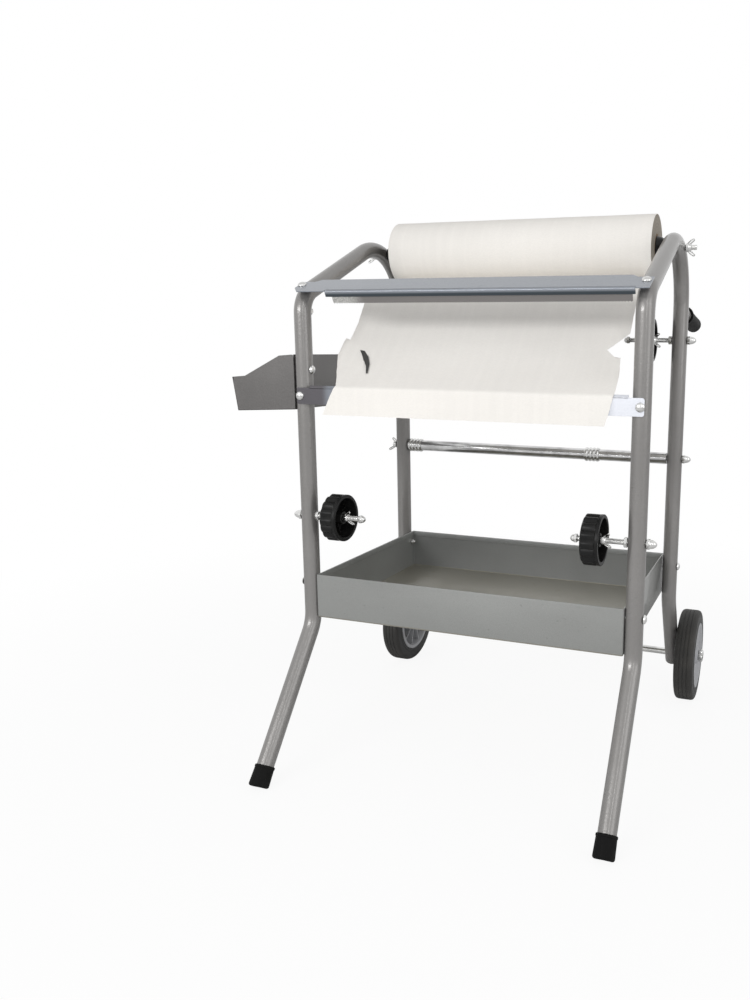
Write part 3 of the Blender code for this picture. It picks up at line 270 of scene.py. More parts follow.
class DispenserColours(PropertyGroup):
    """Colours of the finishes."""

    frame: colour_setting("Frame", "Paint on the tubes", 0.206, 0.199, 0.193)
    bars: colour_setting("Bars", "Paint on the cutter bar and lower bar", 0.205, 0.222, 0.252)
    tray: colour_setting("Bottom tray", "Paint on the bottom tray", 0.250, 0.255, 0.247)
    side_tray: colour_setting("Side tray", "Paint on the side tray", 0.120, 0.115, 0.112)
    paper: colour_setting("Paper", "Masking paper", 0.86, 0.835, 0.795)
    discs: colour_setting("Wheel discs", "Moulded wheel discs", 0.40, 0.405, 0.42)
    black: colour_setting("Black mouldings", "Hubs, cones and grips", 0.009, 0.009, 0.009)


class DispenserStudio(PropertyGroup):
    """Floor, lamps and camera."""

    key_power: power_setting("Key lamp", "Power of the large lamp over the front", 25)
    fill_power: power_setting("Fill lamp", "Power of the lamp at the right", 11)
    strip_power: power_setting("Strip lamp", "Power of the narrow lamp that draws the highlights", 7)
    sky: FloatProperty(name="Sky", description="Brightness of the even light from all round", default=0.52)
    focal_length: FloatProperty(
        name="Lens", description="Focal length of the camera", default=28.96, unit="CAMERA")


# Shader maths

class Value:
    """A shader socket that takes part in Python sums."""

    def __init__(self, maker, socket):
        self.maker = maker
        self.socket = socket

    def join(self, operation, first, second=0.0):
        return self.maker.node("Math", {"operation": operation}, {0: first, 1: second})

    def __add__(self, other):
        return self.join("ADD", self, other)

    def __sub__(self, other):
        return self.join("SUBTRACT", self, other)

    def __mul__(self, other):
        return self.join("MULTIPLY", self, other)

    __radd__ = __add__
    __rmul__ = __mul__

    def __pow__(self, other):
        return self.join("POWER", self, other)

    def sine(self):
        return self.join("SINE", self)

    def highest(self, other):
        return self.join("MAXIMUM", self, other)

    def between(self, low, high):
        """0 below low, 1 above high and smooth between."""
        inputs = {"Value": self, "From Min": low, "From Max": high}
        return self.maker.node("MapRange", {"interpolation_type": "SMOOTHSTEP"}, inputs)


class NodeTree:
    """The shader nodes of a material or a world, added one by one."""

    def __init__(self, owner):
        self.owner = owner
        owner.use_nodes = True
        self.tree = owner.node_tree

    def node(self, kind, settings=None, inputs=None, output=0):
        """Add a node: its settings first, then the values or links of its sockets. Gives one output."""
        made = self.tree.nodes.new("ShaderNode" + kind)
        for name, value in (settings or {}).items():
            setattr(made, name, value)
        for name, value in (inputs or {}).items():
            self.feed(made.inputs[name], value)
        return Value(self, made.outputs[output])

    def feed(self, socket, value):
        if isinstance(value, Value):
            self.tree.links.new(value.socket, socket)
        else:
            socket.default_value = value


class Surface(NodeTree):
    """A material that is built node by node."""

    def __init__(self, name):
        super().__init__(bpy.data.materials.new(name))
        self.shader = self.tree.nodes["Principled BSDF"]
        self.place = self.node("TexCoord", output="Object")

    def finish(self, tone, roughness, height=None, depth=0, below=None, **values):
        """Feed the shader's own sockets, other ones named with underscores, and give the material."""
        values.update(Base_Color=tone, Roughness=roughness)
        if height is not None:
            values["Normal"] = self.bump(height, depth, below)
        for name, value in values.items():
            self.feed(self.shader.inputs[name.replace("_", " ")], value)
        return self.owner

    def noise(self, scale, detail=2.0, stretch=(1, 1, 1)):
        place = self.place
        if stretch != (1, 1, 1):
            place = self.node("Mapping", inputs={"Vector": place, "Scale": stretch})
        return self.node("TexNoise", inputs={"Vector": place, "Scale": scale, "Detail": detail})

    def along(self, axis):
        """A coordinate of the piece itself."""
        return self.node("SeparateXYZ", inputs={0: self.place}, output=axis)

    def distance(self, first, second):
        """How far a point is from the piece's own origin along two axes together."""
        one = self.along(first)
        other = self.along(second)
        return (one * one + other * other) ** 0.5

    def blend(self, share, first, second):
        """Mix two colours."""
        inputs = {0: share, 6: self.colour(first), 7: self.colour(second)}
        return self.node("Mix", {"data_type": "RGBA", "clamp_factor": True}, inputs, 2)

    def colour(self, value):
        return value if isinstance(value, Value) else (*value, 1)

    def bump(self, height, depth, below=None):
        inputs = {"Height": height, "Distance": depth}
        if below is not None:
            inputs["Normal"] = below
        return self.node("Bump", inputs=inputs)


def shaded(colour, factor):
    """A colour made lighter or darker."""
    return tuple(min(channel * factor, 1) for channel in colour)


# Finishes

def metallic_paint(name, colour, gloss, streaks=(1, 1, 1), shade_and_tone_fades=()):
    """Powder coat with fine metal flakes, soft clouds, orange peel and handling marks.

    Each fade names an axis of the piece, where the colour begins to change, where it has changed, and
    its colour. The fades hold painted shade and painted reflections on the bars and on the tray's rear
    wall, and a warmer tone on the tray floor.
    """
    surface = Surface(name)
    cloud = surface.noise(11, 4, streaks)
    flakes = surface.noise(1600, 1)
    peel = surface.noise(380, 2)
    rubbed = surface.noise(46, 5, (1, 1, 0.16)).between(0.62, 0.74)
    speck = surface.noise(240, 1).between(0.73, 0.78)
    tone = surface.blend((cloud - 0.5) * 1.5 + 0.5, shaded(colour, 0.86), shaded(colour, 1.14))
    tone = surface.blend(flakes.between(0.42, 0.62) * 0.5, tone, shaded(colour, 1.45))
    tone = surface.blend(speck * 0.35, tone, shaded(colour, 0.45))
    # Painted shade and painted reflections laid over the paint, and the tray floor's warmer tone
    for axis, start, end, other in shade_and_tone_fades:
        tone = surface.blend(surface.along(axis).between(start, end), tone, other)
    roughness = gloss + cloud * 0.10 + rubbed * 0.10 - flakes * 0.05
    height = peel + flakes * 0.25
    coat = {"Coat_Weight": 0.42, "Coat_Roughness": 0.07}
    return surface.finish(tone, roughness, height, PAINT_PEEL, Metallic=0.35, **coat)


def bright_metal(name, colour, grain=(1, 1, 1)):
    """Plated steel with faint polishing lines and dull patches."""
    surface = Surface(name)
    lines = surface.noise(900, 3, grain)
    dull = surface.noise(60, 4)
    tone = surface.blend(dull.between(0.35, 0.75), colour, shaded(colour, 0.72))
    return surface.finish(tone, dull * 0.16 + lines * 0.06 + 0.10, lines, POLISH_GRAIN, Metallic=1.0)


def blade_steel():
    """Bare sheet with a sandy grain, bright at its left end and darkened beside it by painted shade."""
    surface = Surface("blade_steel")
    sand = surface.noise(700, 2)
    cloud = surface.noise(40, 3)
    tone = surface.blend(sand.between(0.38, 0.66), (0.28, 0.28, 0.27), (0.66, 0.66, 0.64))
    tone = surface.blend(cloud * 0.4, tone, (0.45, 0.44, 0.42))
    # Painted shade: right of its left end the blade is painted dark, as it lies in the shadow under the bar
    spread = surface.node("TexCoord", output="Generated")
    share = surface.node("SeparateXYZ", inputs={0: spread}, output="X")
    tone = surface.blend(share.between(0.06, 0.12), tone, (0.20, 0.19, 0.185))
    return surface.finish(tone, sand * 0.15 + 0.42, sand, SHEET_GRAIN, Metallic=0.5)


def black_moulding(name, colour, roughness, grain, dust, shine):
    """Black plastic or rubber with a fine moulded grain and a little dust."""
    surface = Surface(name)
    fine = surface.noise(grain, 2)
    cloud = surface.noise(26, 4)
    dusty = cloud.between(0.45, 0.80) * dust
    tone = surface.blend(fine * 0.5, shaded(colour, 0.8), shaded(colour, 1.8))
    tone = surface.blend(dusty, tone, (0.16, 0.155, 0.14))
    roughness = roughness + cloud * 0.12 + fine * 0.06
    return surface.finish(tone, roughness, fine + cloud * 0.5, MOULD_GRAIN, Specular_IOR_Level=shine)


def tyre_rubber():
    """Black rubber, dusty on the tread and smoother on the sides."""
    surface = Surface("tyre_rubber")
    fine = surface.noise(520, 3)
    cloud = surface.noise(20, 4)
    tread = surface.distance("Y", "Z").between(TREAD_DUST_START, TREAD_DUST_END)
    dusty = (cloud.between(0.40, 0.75) * 0.16 + 0.07) * tread
    tone = surface.blend(fine * 0.6, (0.010, 0.010, 0.010), (0.024, 0.023, 0.022))
    tone = surface.blend(dusty, tone, (0.17, 0.16, 0.14))
    return surface.finish(tone, fine * 0.12 + tread * 0.16 + 0.46, fine + cloud, TYRE_GRAIN)


def disc_plastic(colour):
    """Grey moulding with fine turned rings and scuffs."""
    surface = Surface("disc_plastic")
    rings = (surface.distance("Y", "Z") * (math.tau / DISC_RING)).sine()
    cloud = surface.noise(30, 4)
    fine = surface.noise(600, 2)
    tone = surface.blend(cloud, shaded(colour, 0.82), shaded(colour, 1.16))
    tone = surface.blend(fine.between(0.58, 0.75) * 0.3, tone, shaded(colour, 0.5))
    return surface.finish(tone, cloud * 0.16 + 0.40, rings * 0.25 + fine, MOULD_GRAIN)


def masking_paper(colour):
    """Thin kraft paper: fibres, calender streaks along the web and soft cockling."""
    surface = Surface("masking_paper")
    fibres = surface.noise(850, 4, (0.35, 1, 1))
    streaks = surface.noise(90, 3, (1, 0.02, 0.02))
    cockle = surface.bump(surface.noise(24, 3), PAPER_COCKLE)
    cloud = surface.noise(5, 3)
    tone = surface.blend(cloud.between(0.3, 0.7), shaded(colour, 0.965), shaded(colour, 1.03))
    tone = surface.blend(fibres.between(0.35, 0.7) * 0.35, tone, shaded(colour, 0.91))
    tone = surface.blend(streaks.between(0.4, 0.7) * 0.25, tone, shaded(colour, 1.06))
    height = fibres * 0.5 + streaks * 0.5
    return surface.finish(tone, fibres * 0.14 + 0.72, height, FIBRE_GRAIN, cockle, Specular_IOR_Level=0.28)


def slit_painted_shade(colour):
    """Painted shade: a dark paper tone with faint fibres, standing for the shadow inside the slit."""
    surface = Surface("slit_painted_shade")
    fibres = surface.noise(700, 4, (0.4, 1, 1))
    tone = surface.blend(fibres, shaded(colour, 0.035), shaded(colour, 0.085))
    return surface.finish(tone, fibres * 0.1 + 0.85, fibres, SHEET_GRAIN)


def paper_edges():
    """The wound end of the roll: every layer's cut edge."""
    surface = Surface("paper_edges")
    radius = surface.distance("Y", "Z")
    wobble = surface.noise(60, 2)
    layers = ((radius + wobble * LAYER_WOBBLE) * (math.tau / PAPER_LAYER)).sine() * 0.5 + 0.5
    bands = surface.node("TexNoise", {"noise_dimensions": "1D"}, {"W": radius, "Scale": 420.0, "Detail": 3.0})
    tone = surface.blend(layers, (0.35, 0.315, 0.265), (0.50, 0.455, 0.39))
    tone = surface.blend(bands.between(0.4, 0.65) * 0.5, tone, (0.28, 0.25, 0.205))
    return surface.finish(tone, 0.9, layers + bands, SHEET_GRAIN)


def core_board():
    """Spiral wound brown board."""
    surface = Surface("core_board")
    fibres = surface.noise(500, 4)
    wound = ((surface.along("X") * 120.0 + surface.noise(30, 1) * 2.0) * math.pi).sine() * 0.5 + 0.5
    tone = surface.blend(fibres, (0.17, 0.12, 0.075), (0.34, 0.25, 0.165))
    tone = surface.blend(wound * 0.3, tone, (0.24, 0.18, 0.12))
    return surface.finish(tone, 0.88, fibres, SHEET_GRAIN)


def make_finishes(colours):
    """Make every finish once: its material and the record's slot."""
    along_bar = (0.3, 1, 1)
    # Painted light on the lower bar: painted shade darkens its left end and a painted reflection lightens its
    # right end
    bar_painted_light = [
        ("X", -0.80 * HALF_SPACING, -0.86 * HALF_SPACING, (0.100, 0.094, 0.105)),
        ("X", 0.78 * HALF_SPACING, 0.88 * HALF_SPACING, (0.80, 0.82, 0.88)),
    ]
    # Painted shade: the lower part of the cutter flange is painted dark navy, a painted dark reflection
    cutter_painted_shade = [("Z", FLANGE_PAINTED_SHADE_START, FLANGE_PAINTED_SHADE_END, (0.018, 0.030, 0.040))]
    # Painted shade darkens the tray's rear wall; the floor takes a warmer tone
    tray_painted_shade_and_floor_tone = [
        ("Y", REAR_WALL_PAINTED_SHADE_START, REAR_WALL_PAINTED_SHADE_END, (0.135, 0.141, 0.145)),
        ("Z", TRAY_FLOOR_START, TRAY_FLOOR_END, (0.250, 0.238, 0.198)),
    ]
    return {
        "frame": (metallic_paint("frame_paint", colours.frame, 0.30), "frame_paint"),
        "bars": (metallic_paint("bar_paint", colours.bars, 0.27, along_bar, bar_painted_light), "bar_paint"),
        "cutter": (metallic_paint("cutter_paint_with_painted_shade", colours.bars, 0.27, along_bar, cutter_painted_shade), "bar_paint"),
        "tray": (metallic_paint("tray_paint", colours.tray, 0.34, (0.4, 1, 1), tray_painted_shade_and_floor_tone), "tray_paint"),
        "side_tray": (metallic_paint("side_tray_paint", colours.side_tray, 0.36), "side_tray_paint"),
        "chrome": (bright_metal("bright_plate", (0.74, 0.74, 0.73)), "bright_plate"),
        "bar_chrome": (bright_metal("bar_plate", (0.66, 0.66, 0.66), (0.02, 1, 1)), "bright_plate"),
        "blade": (blade_steel(), "blade_steel"),
        "plastic": (black_moulding("hub_plastic", colours.black, 0.24, 900, 0.05, 0.16), "black_plastic"),
        "rubber": (black_moulding("grip_rubber", colours.black, 0.46, 1300, 0.04, 0.04), "black_rubber"),
        "tyre": (tyre_rubber(), "tyre"),
        "discs": (disc_plastic(colours.discs), "grey_plastic"),
        "paper": (masking_paper(colours.paper), "paper"),
        "paper_edges": (paper_edges(), "paper"),
        # Painted shade: the dark sheet seen through the slit
        "lip": (slit_painted_shade(colours.paper), "paper"),
        "board": (core_board(), "cardboard"),
    }


FINISHES = {}


# Shapes

def loft(rings, closed=False):
    """Join rings of points into one skin that closes on itself or is capped at both ends."""
    shape = bmesh.new()
    loops = [[shape.verts.new(point) for point in ring] for ring in rings]
    pairs = list(zip(loops, loops[1:]))
    if closed:
        pairs.append((loops[-1], loops[0]))
    else:
        shape.faces.new(loops[0])
        shape.faces.new(loops[-1])
    for near, far in pairs:
        bridge(shape, near, far)
    bmesh.ops.recalc_face_normals(shape, faces=shape.faces)
    return shape


def bridge(shape, near, far):
    """Join two rings of points by a band of faces."""
    for first in range(len(near)):
        second = (first + 1) % len(near)
        shape.faces.new((near[first], near[second], far[second], far[first]))


def around(count):
    """Angles that share a full turn evenly."""
    return [math.tau * index / count for index in range(count)]


def circle(middle, across, up, radius, sides):
    """Points round a middle in the plane of two directions."""
    return [middle + (across * math.cos(angle) + up * math.sin(angle)) * radius for angle in around(sides)]


def turned(stations, sides=32, bored=False):
    """Turn stations of (place along X, radius) about the X axis. A radius may be a function of the angle."""
    rings = []
    for place, radius in stations:
        ring = []
        for angle in around(sides):
            reach = radius(angle) if callable(radius) else radius
            ring.append(Vector((place, reach * math.cos(angle), reach * math.sin(angle))))
        rings.append(ring)
    return loft(rings, closed=bored)


def mirrored(stations):
    """The same stations on the other side of X 0."""
    return [(-place, radius) for place, radius in stations[::-1]]


def quarter_arc(start, end, steps):
    """A quarter round between two pairs of values, of which the second value changes first."""
    swings = [QUARTER * step / steps for step in range(steps + 1)]
    return [(
        start[0] + (end[0] - start[0]) * (1 - math.cos(swing)),
        start[1] + (end[1] - start[1]) * math.sin(swing),
    ) for swing in swings]


def dome(start, rise, radius, steps=6):
    """Stations of a dome that closes at start plus rise."""
    swings = [QUARTER * step / steps for step in range(steps)]
    stations = [(start + rise * math.sin(swing), radius * math.cos(swing)) for swing in swings]
    return stations + [(start + rise, radius * math.sin(QUARTER / steps) / 4)]


def hexagon(flats, limit):
    """A hexagon's outline, its corners cut back to a limit by the nut's chamfer."""
    half = math.pi / 6
    return lambda angle: min(flats / 2 / math.cos(angle % (half * 2) - half), limit)


def nut_stations(start, height, flats, far_chamfer=True):
    """A chamfered hexagon nut's stations from a start, without its bore."""
    corner = flats / 2 / math.cos(math.pi / 6)
    face = flats / 2 * 0.96
    cut = (corner - face) * math.tan(math.pi / 6)
    chamfer = hexagon(flats, (corner + face) / 2)
    full = hexagon(flats, corner)
    end = start + height
    stations = [(start, face), (start + cut / 2, chamfer), (start + cut, full), (end - cut, full)]
    if far_chamfer:
        stations += [(end - cut / 2, chamfer), (end, face)]
    return stations


def merged(*shapes):
    """Put several closed skins in one shape."""
    whole = bmesh.new()
    for shape in shapes:
        mesh = mesh_of("skin", shape)
        whole.from_mesh(mesh)
        bpy.data.meshes.remove(mesh)
    return whole


def prism(outline, run):
    """Extrude a flat outline of points along a run."""
    return loft([outline, [point + run for point in outline]])


def spokes(low, high, count, offset=0):
    """Blocks between two corners, set round the X axis."""
    (x, y, z), (far_x, far_y, far_z) = low, high
    outline = [Vector((x, y, z)), Vector((x, far_y, z)), Vector((x, far_y, far_z)), Vector((x, y, far_z))]
    blocks = []
    for index in range(count):
        block = prism(outline, X_AXIS * (far_x - x))
        turn = Matrix.Rotation(math.tau * (index + offset) / count, 3, "X")
        bmesh.ops.rotate(block, verts=block.verts, matrix=turn)
        blocks.append(block)
    return blocks


def bent_path(corners, radii, step=3 * DEGREE):
    """Follow straight runs between corners, with an arc of its own radius at each inner corner."""
    path = [corners[0]]
    for before, corner, after, radius in zip(corners, corners[1:], corners[2:], radii):
        back = (before - corner).normalized()
        ahead = (after - corner).normalized()
        half = back.angle(ahead) / 2
        middle = corner + (back + ahead).normalized() * (radius / math.sin(half))
        start = corner + back * (radius / math.tan(half))
        turn = math.pi - half * 2
        steps = math.ceil(turn / step)
        normal = (start - middle).normalized()
        for index in range(steps + 1):
            swing = turn * index / steps
            path.append(middle + radius * (normal * math.cos(swing) - back * math.sin(swing)))
    path.append(corners[-1])
    return path


def tube(path, radius, wall, sides=48):
    """A tube with softly broken ends along a path in the plane across X."""
    edge = wall / 4
    first = (path[1] - path[0]).normalized()
    last = (path[-1] - path[-2]).normalized()
    stations = [(path[0], first, radius - edge), (path[0] + first * edge, first, radius)]
    for before, point, after in zip(path, path[1:], path[2:]):
        stations.append((point, (after - before).normalized(), radius))
    stations += [(path[-1] - last * edge, last, radius), (path[-1], last, radius - edge)]
    inner = [(point, ahead, radius - wall) for point, ahead, reach in stations[::-1] if reach == radius]
    inner[0] = (path[-1], last, radius - wall)
    inner[-1] = (path[0], first, radius - wall)
    rings = []
    for point, ahead, reach in stations + inner:
        rings.append(circle(point, X_AXIS, ahead.cross(X_AXIS), reach, sides))
    return loft(rings, closed=True)


def mesh_of(name, shape):
    """Turn a shape into a mesh."""
    mesh = bpy.data.meshes.new(name)
    shape.to_mesh(mesh)
    shape.free()
    return mesh


def new_object(name, data):
    """Put a mesh, lamp or camera in the scene."""
    made = bpy.data.objects.new(name, data)
    bpy.context.collection.objects.link(made)
    return made


def add_piece(name, shape, node, at, aim=None, finish="chrome", body="stand", turn=0.0, crease=35 * DEGREE):
    """Make a piece of a shape, put it in place, and let it ride on its body in place of its CAD node."""
    mesh = mesh_of(name, shape)
    material, slot = FINISHES[finish]
    mesh.materials.append(material)
    mesh.shade_smooth()
    mesh.set_sharp_from_angle(angle=crease)
    piece = new_object(name, mesh)
    piece.location = ORIGIN + at
    if aim is not None:
        piece.rotation_mode = "QUATERNION"
        piece.rotation_quaternion = aim.to_track_quat("X", "Z") @ Quaternion(X_AXIS, turn)
    bpy.context.view_layer.update()
    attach(piece, body)
    if node:
        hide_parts(node)
    return piece


def refinish(node, finish):
    """Give a CAD node's own object a finish."""
    materials = frame["nodes"][node].data.materials
    materials.clear()
    materials.append(FINISHES[finish][0])


def soften(piece, width):
    """Round the sharp edges of a sheet metal or cast piece."""
    bevel = piece.modifiers.new("soft_edges", "BEVEL")
    bevel.width = width
    bevel.segments = 2
    bevel.limit_method = "ANGLE"
    bevel.angle_limit = 40 * DEGREE
    bevel.harden_normals = True


def side_name(side):
    return "left" if side < 0 else "right"


# Frames, feet and handles

def build_frame(side, sizes):
    """One bent tube with its two legs."""
    rear_direction = (AXLE_POINT - REAR_BEND).normalized()
    corners = [
        FOOT_END + FOOT_DIRECTION * (FOOT_BASE + SEAT_GAP),
        FRONT_BEND,
        FRONT_TOP,
        Vector((0, REAR_LEG, REAR_TOP_HEIGHT)),
        REAR_BEND,
        Vector((0, AXLE_POINT.y, AXLE_POINT.z)) + rear_direction * TUBE_PAST_AXLE,
    ]
    shape = tube(bent_path(corners, BEND_RADII), TUBE_RADIUS, sizes.tube_wall)
    name = "frame_" + side_name(side)
    add_piece(name + "_tube", shape, name, X_AXIS * side * HALF_SPACING, finish="frame")


def build_foot(side):
    """A moulded ferrule, worn flat where it meets the floor."""
    name = "foot_" + side_name(side)
    radius = 14.5 * MM
    body = 14.4 * MM
    neck = 13.8 * MM
    rim = 3.2 * MM
    belly = 3 * MM
    length = 30 * MM
    band = 4 * MM
    band_slope = 0.6 * MM
    edge = 0.8 * MM
    pinhole = 1 * MM
    bore = TUBE_RADIUS + SEAT_GAP
    stations = [(0, pinhole)] + quarter_arc((0, radius - rim), (rim, radius), 6) + [
        (rim + belly, body), (length - band, neck), (length - band + band_slope, body), (length - edge, body),
        (length, body - edge), (length, bore), (FOOT_BASE, bore), (FOOT_BASE, pinhole),
    ]
    shape = turned(stations, 56, bored=True)
    at = FOOT_END + X_AXIS * side * HALF_SPACING
    swing = FOOT_DIRECTION.to_track_quat("X", "Z")
    for vertex in shape.verts:
        standing = swing @ vertex.co + at
        if standing.z < 0:
            standing.z = 0
            vertex.co = swing.inverted() @ (standing - at)
    add_piece(name + "_ferrule", shape, name, at, FOOT_DIRECTION, "rubber")


def build_handle(side, sizes):
    """A stub tube, the weld where it meets its leg, and its grip."""
    name = side_name(side)
    direction = Vector((0, math.cos(HANDLE_DROOP), -math.sin(HANDLE_DROOP)))
    start = Vector((side * HALF_SPACING, REAR_LEG, HANDLE_HEIGHT))
    grip_start = TUBE_RADIUS + HANDLE_BARE_LENGTH
    stub = tube([Vector(), Y_AXIS * (grip_start + GRIP_LENGTH - GRIP_CAP)], HANDLE_RADIUS, sizes.tube_wall)
    bmesh.ops.rotate(stub, verts=stub.verts, matrix=direction.to_track_quat("Y", "Z").to_matrix())
    for vertex in stub.verts:
        if vertex.co.y < TUBE_RADIUS:
            reach = math.sqrt(max(TUBE_RADIUS ** 2 - vertex.co.x ** 2, 0)) + SEAT_GAP
            vertex.co += direction * (reach - vertex.co.y) / direction.y
    add_piece("handle_stub_" + name, stub, "handle_tube_" + name, start, finish="frame")

    rings = []
    for index, out in enumerate(circle(Vector(), X_AXIS, direction.cross(X_AXIS), HANDLE_RADIUS, 64)):
        reach = math.sqrt(TUBE_RADIUS ** 2 - out.x ** 2)
        seat = out + direction * ((reach - out.y) / direction.y)
        bead = sizes.weld_radius * (1 + 0.16 * math.sin(index * 2.4))
        rings.append(circle(seat, out.normalized(), direction, bead, 10))
    weld = loft(rings, closed=True)
    add_piece("handle_weld_" + name, weld, None, start, finish="frame", crease=80 * DEGREE)
    mouth = start + direction * grip_start
    add_piece("handle_grip_" + name, grip_shape(), "grip_" + name, mouth, direction, "rubber")


def grip_shape():
    """A closed sleeve with a collar at its mouth and a faint waist."""
    radius = 13.5 * MM
    bore = HANDLE_RADIUS + SEAT_GAP
    pinhole = 1 * MM
    mouth = 0.5 * MM
    collar = 15 * MM
    collar_length = 3.4 * MM
    edge = 0.8 * MM
    shoulder = 1.2 * MM
    neck = 7 * MM
    neck_depth = 0.3 * MM
    swell = 20 * MM
    waist_depth = 0.35 * MM
    nose = 8 * MM
    nose_start = 9 * MM
    stations = [
        (GRIP_LENGTH - GRIP_CAP, pinhole), (GRIP_LENGTH - GRIP_CAP, bore), (mouth, bore), (0, bore + mouth),
        (0, collar - edge), (edge, collar), (collar_length, collar),
        (collar_length + shoulder, collar - shoulder / 2), (neck, radius - neck_depth), (swell, radius),
        (GRIP_LENGTH * 0.55, radius - waist_depth), (GRIP_LENGTH - nose_start, radius),
    ]
    return turned(stations + dome(GRIP_LENGTH - nose, nose, radius, 8), 56, bored=True)


# Wheels

def build_tyre(side, sizes):
    """A solid tyre: rounded shoulders, shallow grooves and a step on each side."""
    name = "tyre_" + side_name(side)
    half = WHEEL_HALF_WIDTH
    tread = TREAD_RADIUS
    rim = 58.3 * MM
    edge = 1.2 * MM
    bead = 6 * MM
    ramp = 1 * MM
    inset = 0.7 * MM
    shoulder = 6 * MM
    crown = 0.5 * MM
    groove = 0.9 * MM
    groove_spacing = 6.6 * MM
    flank = [
        (edge - half, rim), (-half, rim + edge), (-half, rim + bead), (inset - half, rim + bead + ramp),
        (inset - half, tread - shoulder - ramp),
    ]
    flank += quarter_arc((inset - half, tread - crown - shoulder), (shoulder - half, tread - crown), 8)[1:-1]
    flank.append((shoulder + ramp - half, tread - crown / 5))
    deep = tread - sizes.tread_groove
    grooves = []
    for place in (-groove_spacing, 0, groove_spacing):
        grooves += [(place - groove, tread), (place - groove * 0.7, deep)]
        grooves += [(place + groove * 0.7, deep), (place + groove, tread)]
    shape = turned(flank + grooves + mirrored(flank), 128, bored=True)
    body = "wheel_" + side_name(side)
    add_piece(name + "_rubber", shape, name, spot(name), finish="tyre", body=body, crease=30 * DEGREE)


def build_disc(side):
    """A dished disc with a raised ring, a boss, and ribs on its inner side."""
    name = "wheel_disc_" + side_name(side)
    half = WHEEL_HALF_WIDTH
    rim = 58 * MM
    bore = 6.4 * MM
    edge = 0.6 * MM
    soft = 0.8 * MM
    bead = 1 * MM
    rim_face = 4.6 * MM
    rim_wall = 9 * MM
    dish_depth = 6 * MM
    dish = half - dish_depth
    ring = 35 * MM
    boss = 15 * MM
    boss_foot = 4 * MM
    boss_hollow = 8.4 * MM
    back_depth = 11 * MM
    back = half - back_depth
    back_wall = 12 * MM
    back_face = 5.6 * MM
    rib_foot = 2.5 * MM
    stations = [
        (half - edge, rim), (half, rim - edge), (half, rim - rim_face), (half - edge, rim - rim_face - soft),
        (dish + soft, rim - rim_wall), (dish, rim - rim_wall - soft * 2), (dish, ring + bead * 2),
        (dish + soft, ring + bead), (dish + soft, ring - bead), (dish, ring - bead * 2),
        (dish, boss + boss_foot), (dish + bead, boss + soft * 2), (half - soft, boss), (half, boss - soft),
        (half, boss_hollow), (half - edge, boss_hollow - soft), (half - edge, bore),
        (-half, bore), (-half, boss - soft), (soft - half, boss), (back, boss + bead * 2),
        (back, rim - back_wall), (bead - half, rim - back_face - soft), (-half, rim - back_face),
        (-half, rim - edge), (edge - half, rim),
    ]
    ribs = spokes((rib_foot - half, boss - bead, -bead), (back + bead, rim - back_face - soft * 3, bead), 10)
    shape = merged(turned(stations, 96, bored=True), *ribs)
    add_piece(name + "_moulding", shape, name, spot(name), X_AXIS * side, "discs", "wheel_" + side_name(side))


def build_axle():
    """The axle with its two end nuts."""
    half = half_size("axle").x
    radius = 6 * MM
    edge = 0.8 * MM
    crown = 0.4 * MM
    face = 5.4 * MM
    end = [(half - edge, radius)] + dome(half, crown, face, 3)
    add_piece("axle_rod", turned(mirrored(end) + end, 40), "axle", spot("axle"))
    flats = 19 * MM
    height = 7.4 * MM
    bore = 6.3 * MM
    for side in SIDES:
        name = "axle_nut_" + side_name(side)
        stations = [(0, bore)] + nut_stations(0, height, flats)[1:] + [(height, bore)]
        at = Vector((end_of(name, -side), AXLE_POINT.y, AXLE_POINT.z))
        add_piece(name + "_hex", turned(stations, 48, bored=True), name, at, X_AXIS * side)


# Trays and bars

def rounded_ring(inset, height, half, corner, steps=4):
    """A level rectangle with rounded corners, drawn in by an inset."""
    radius = max(corner - inset, SMALLEST_RADIUS)
    x = half.x - inset - radius
    y = half.y - inset - radius
    points = []
    for quarter, (side_x, side_y) in enumerate(((1, 1), (-1, 1), (-1, -1), (1, -1))):
        for step in range(steps + 1):
            swing = QUARTER * (quarter + step / steps)
            out = Vector((math.cos(swing), math.sin(swing), 0)) * radius
            points.append(Vector((side_x * x, side_y * y, height)) + out)
    return points


def build_bottom_tray(sizes):
    """A folded tray with rounded lower folds and a rolled hem round its top."""
    half = half_size("bottom_tray")
    corner = 2.2 * MM
    fold = 2.4 * MM
    inner_fold = 0.7 * MM
    hem = 1.1 * MM
    hem_lip = 0.3 * MM
    floor = SHEET - half.z
    hem_end = half.z - sizes.hem_depth
    levels = [(inset, height) for height, inset in quarter_arc((-half.z, fold), (fold - half.z, 0), 4)]
    for step in range(7):
        swing = math.pi * step / 6
        levels.append((hem * (1 - math.cos(swing)), half.z - hem + hem * math.sin(swing)))
    levels += [(hem * 2, hem_end), (hem * 2 - hem_lip, hem_end - hem_lip), (SHEET, hem_end - hem_lip)]
    levels += quarter_arc((SHEET, floor + inner_fold), (SHEET + inner_fold, floor), 4)
    rings = [rounded_ring(inset, height, half, corner) for inset, height in levels]
    middle = spot("bottom_tray")
    add_piece("bottom_tray_sheet", loft(rings), "bottom_tray", middle, finish="tray", crease=25 * DEGREE)


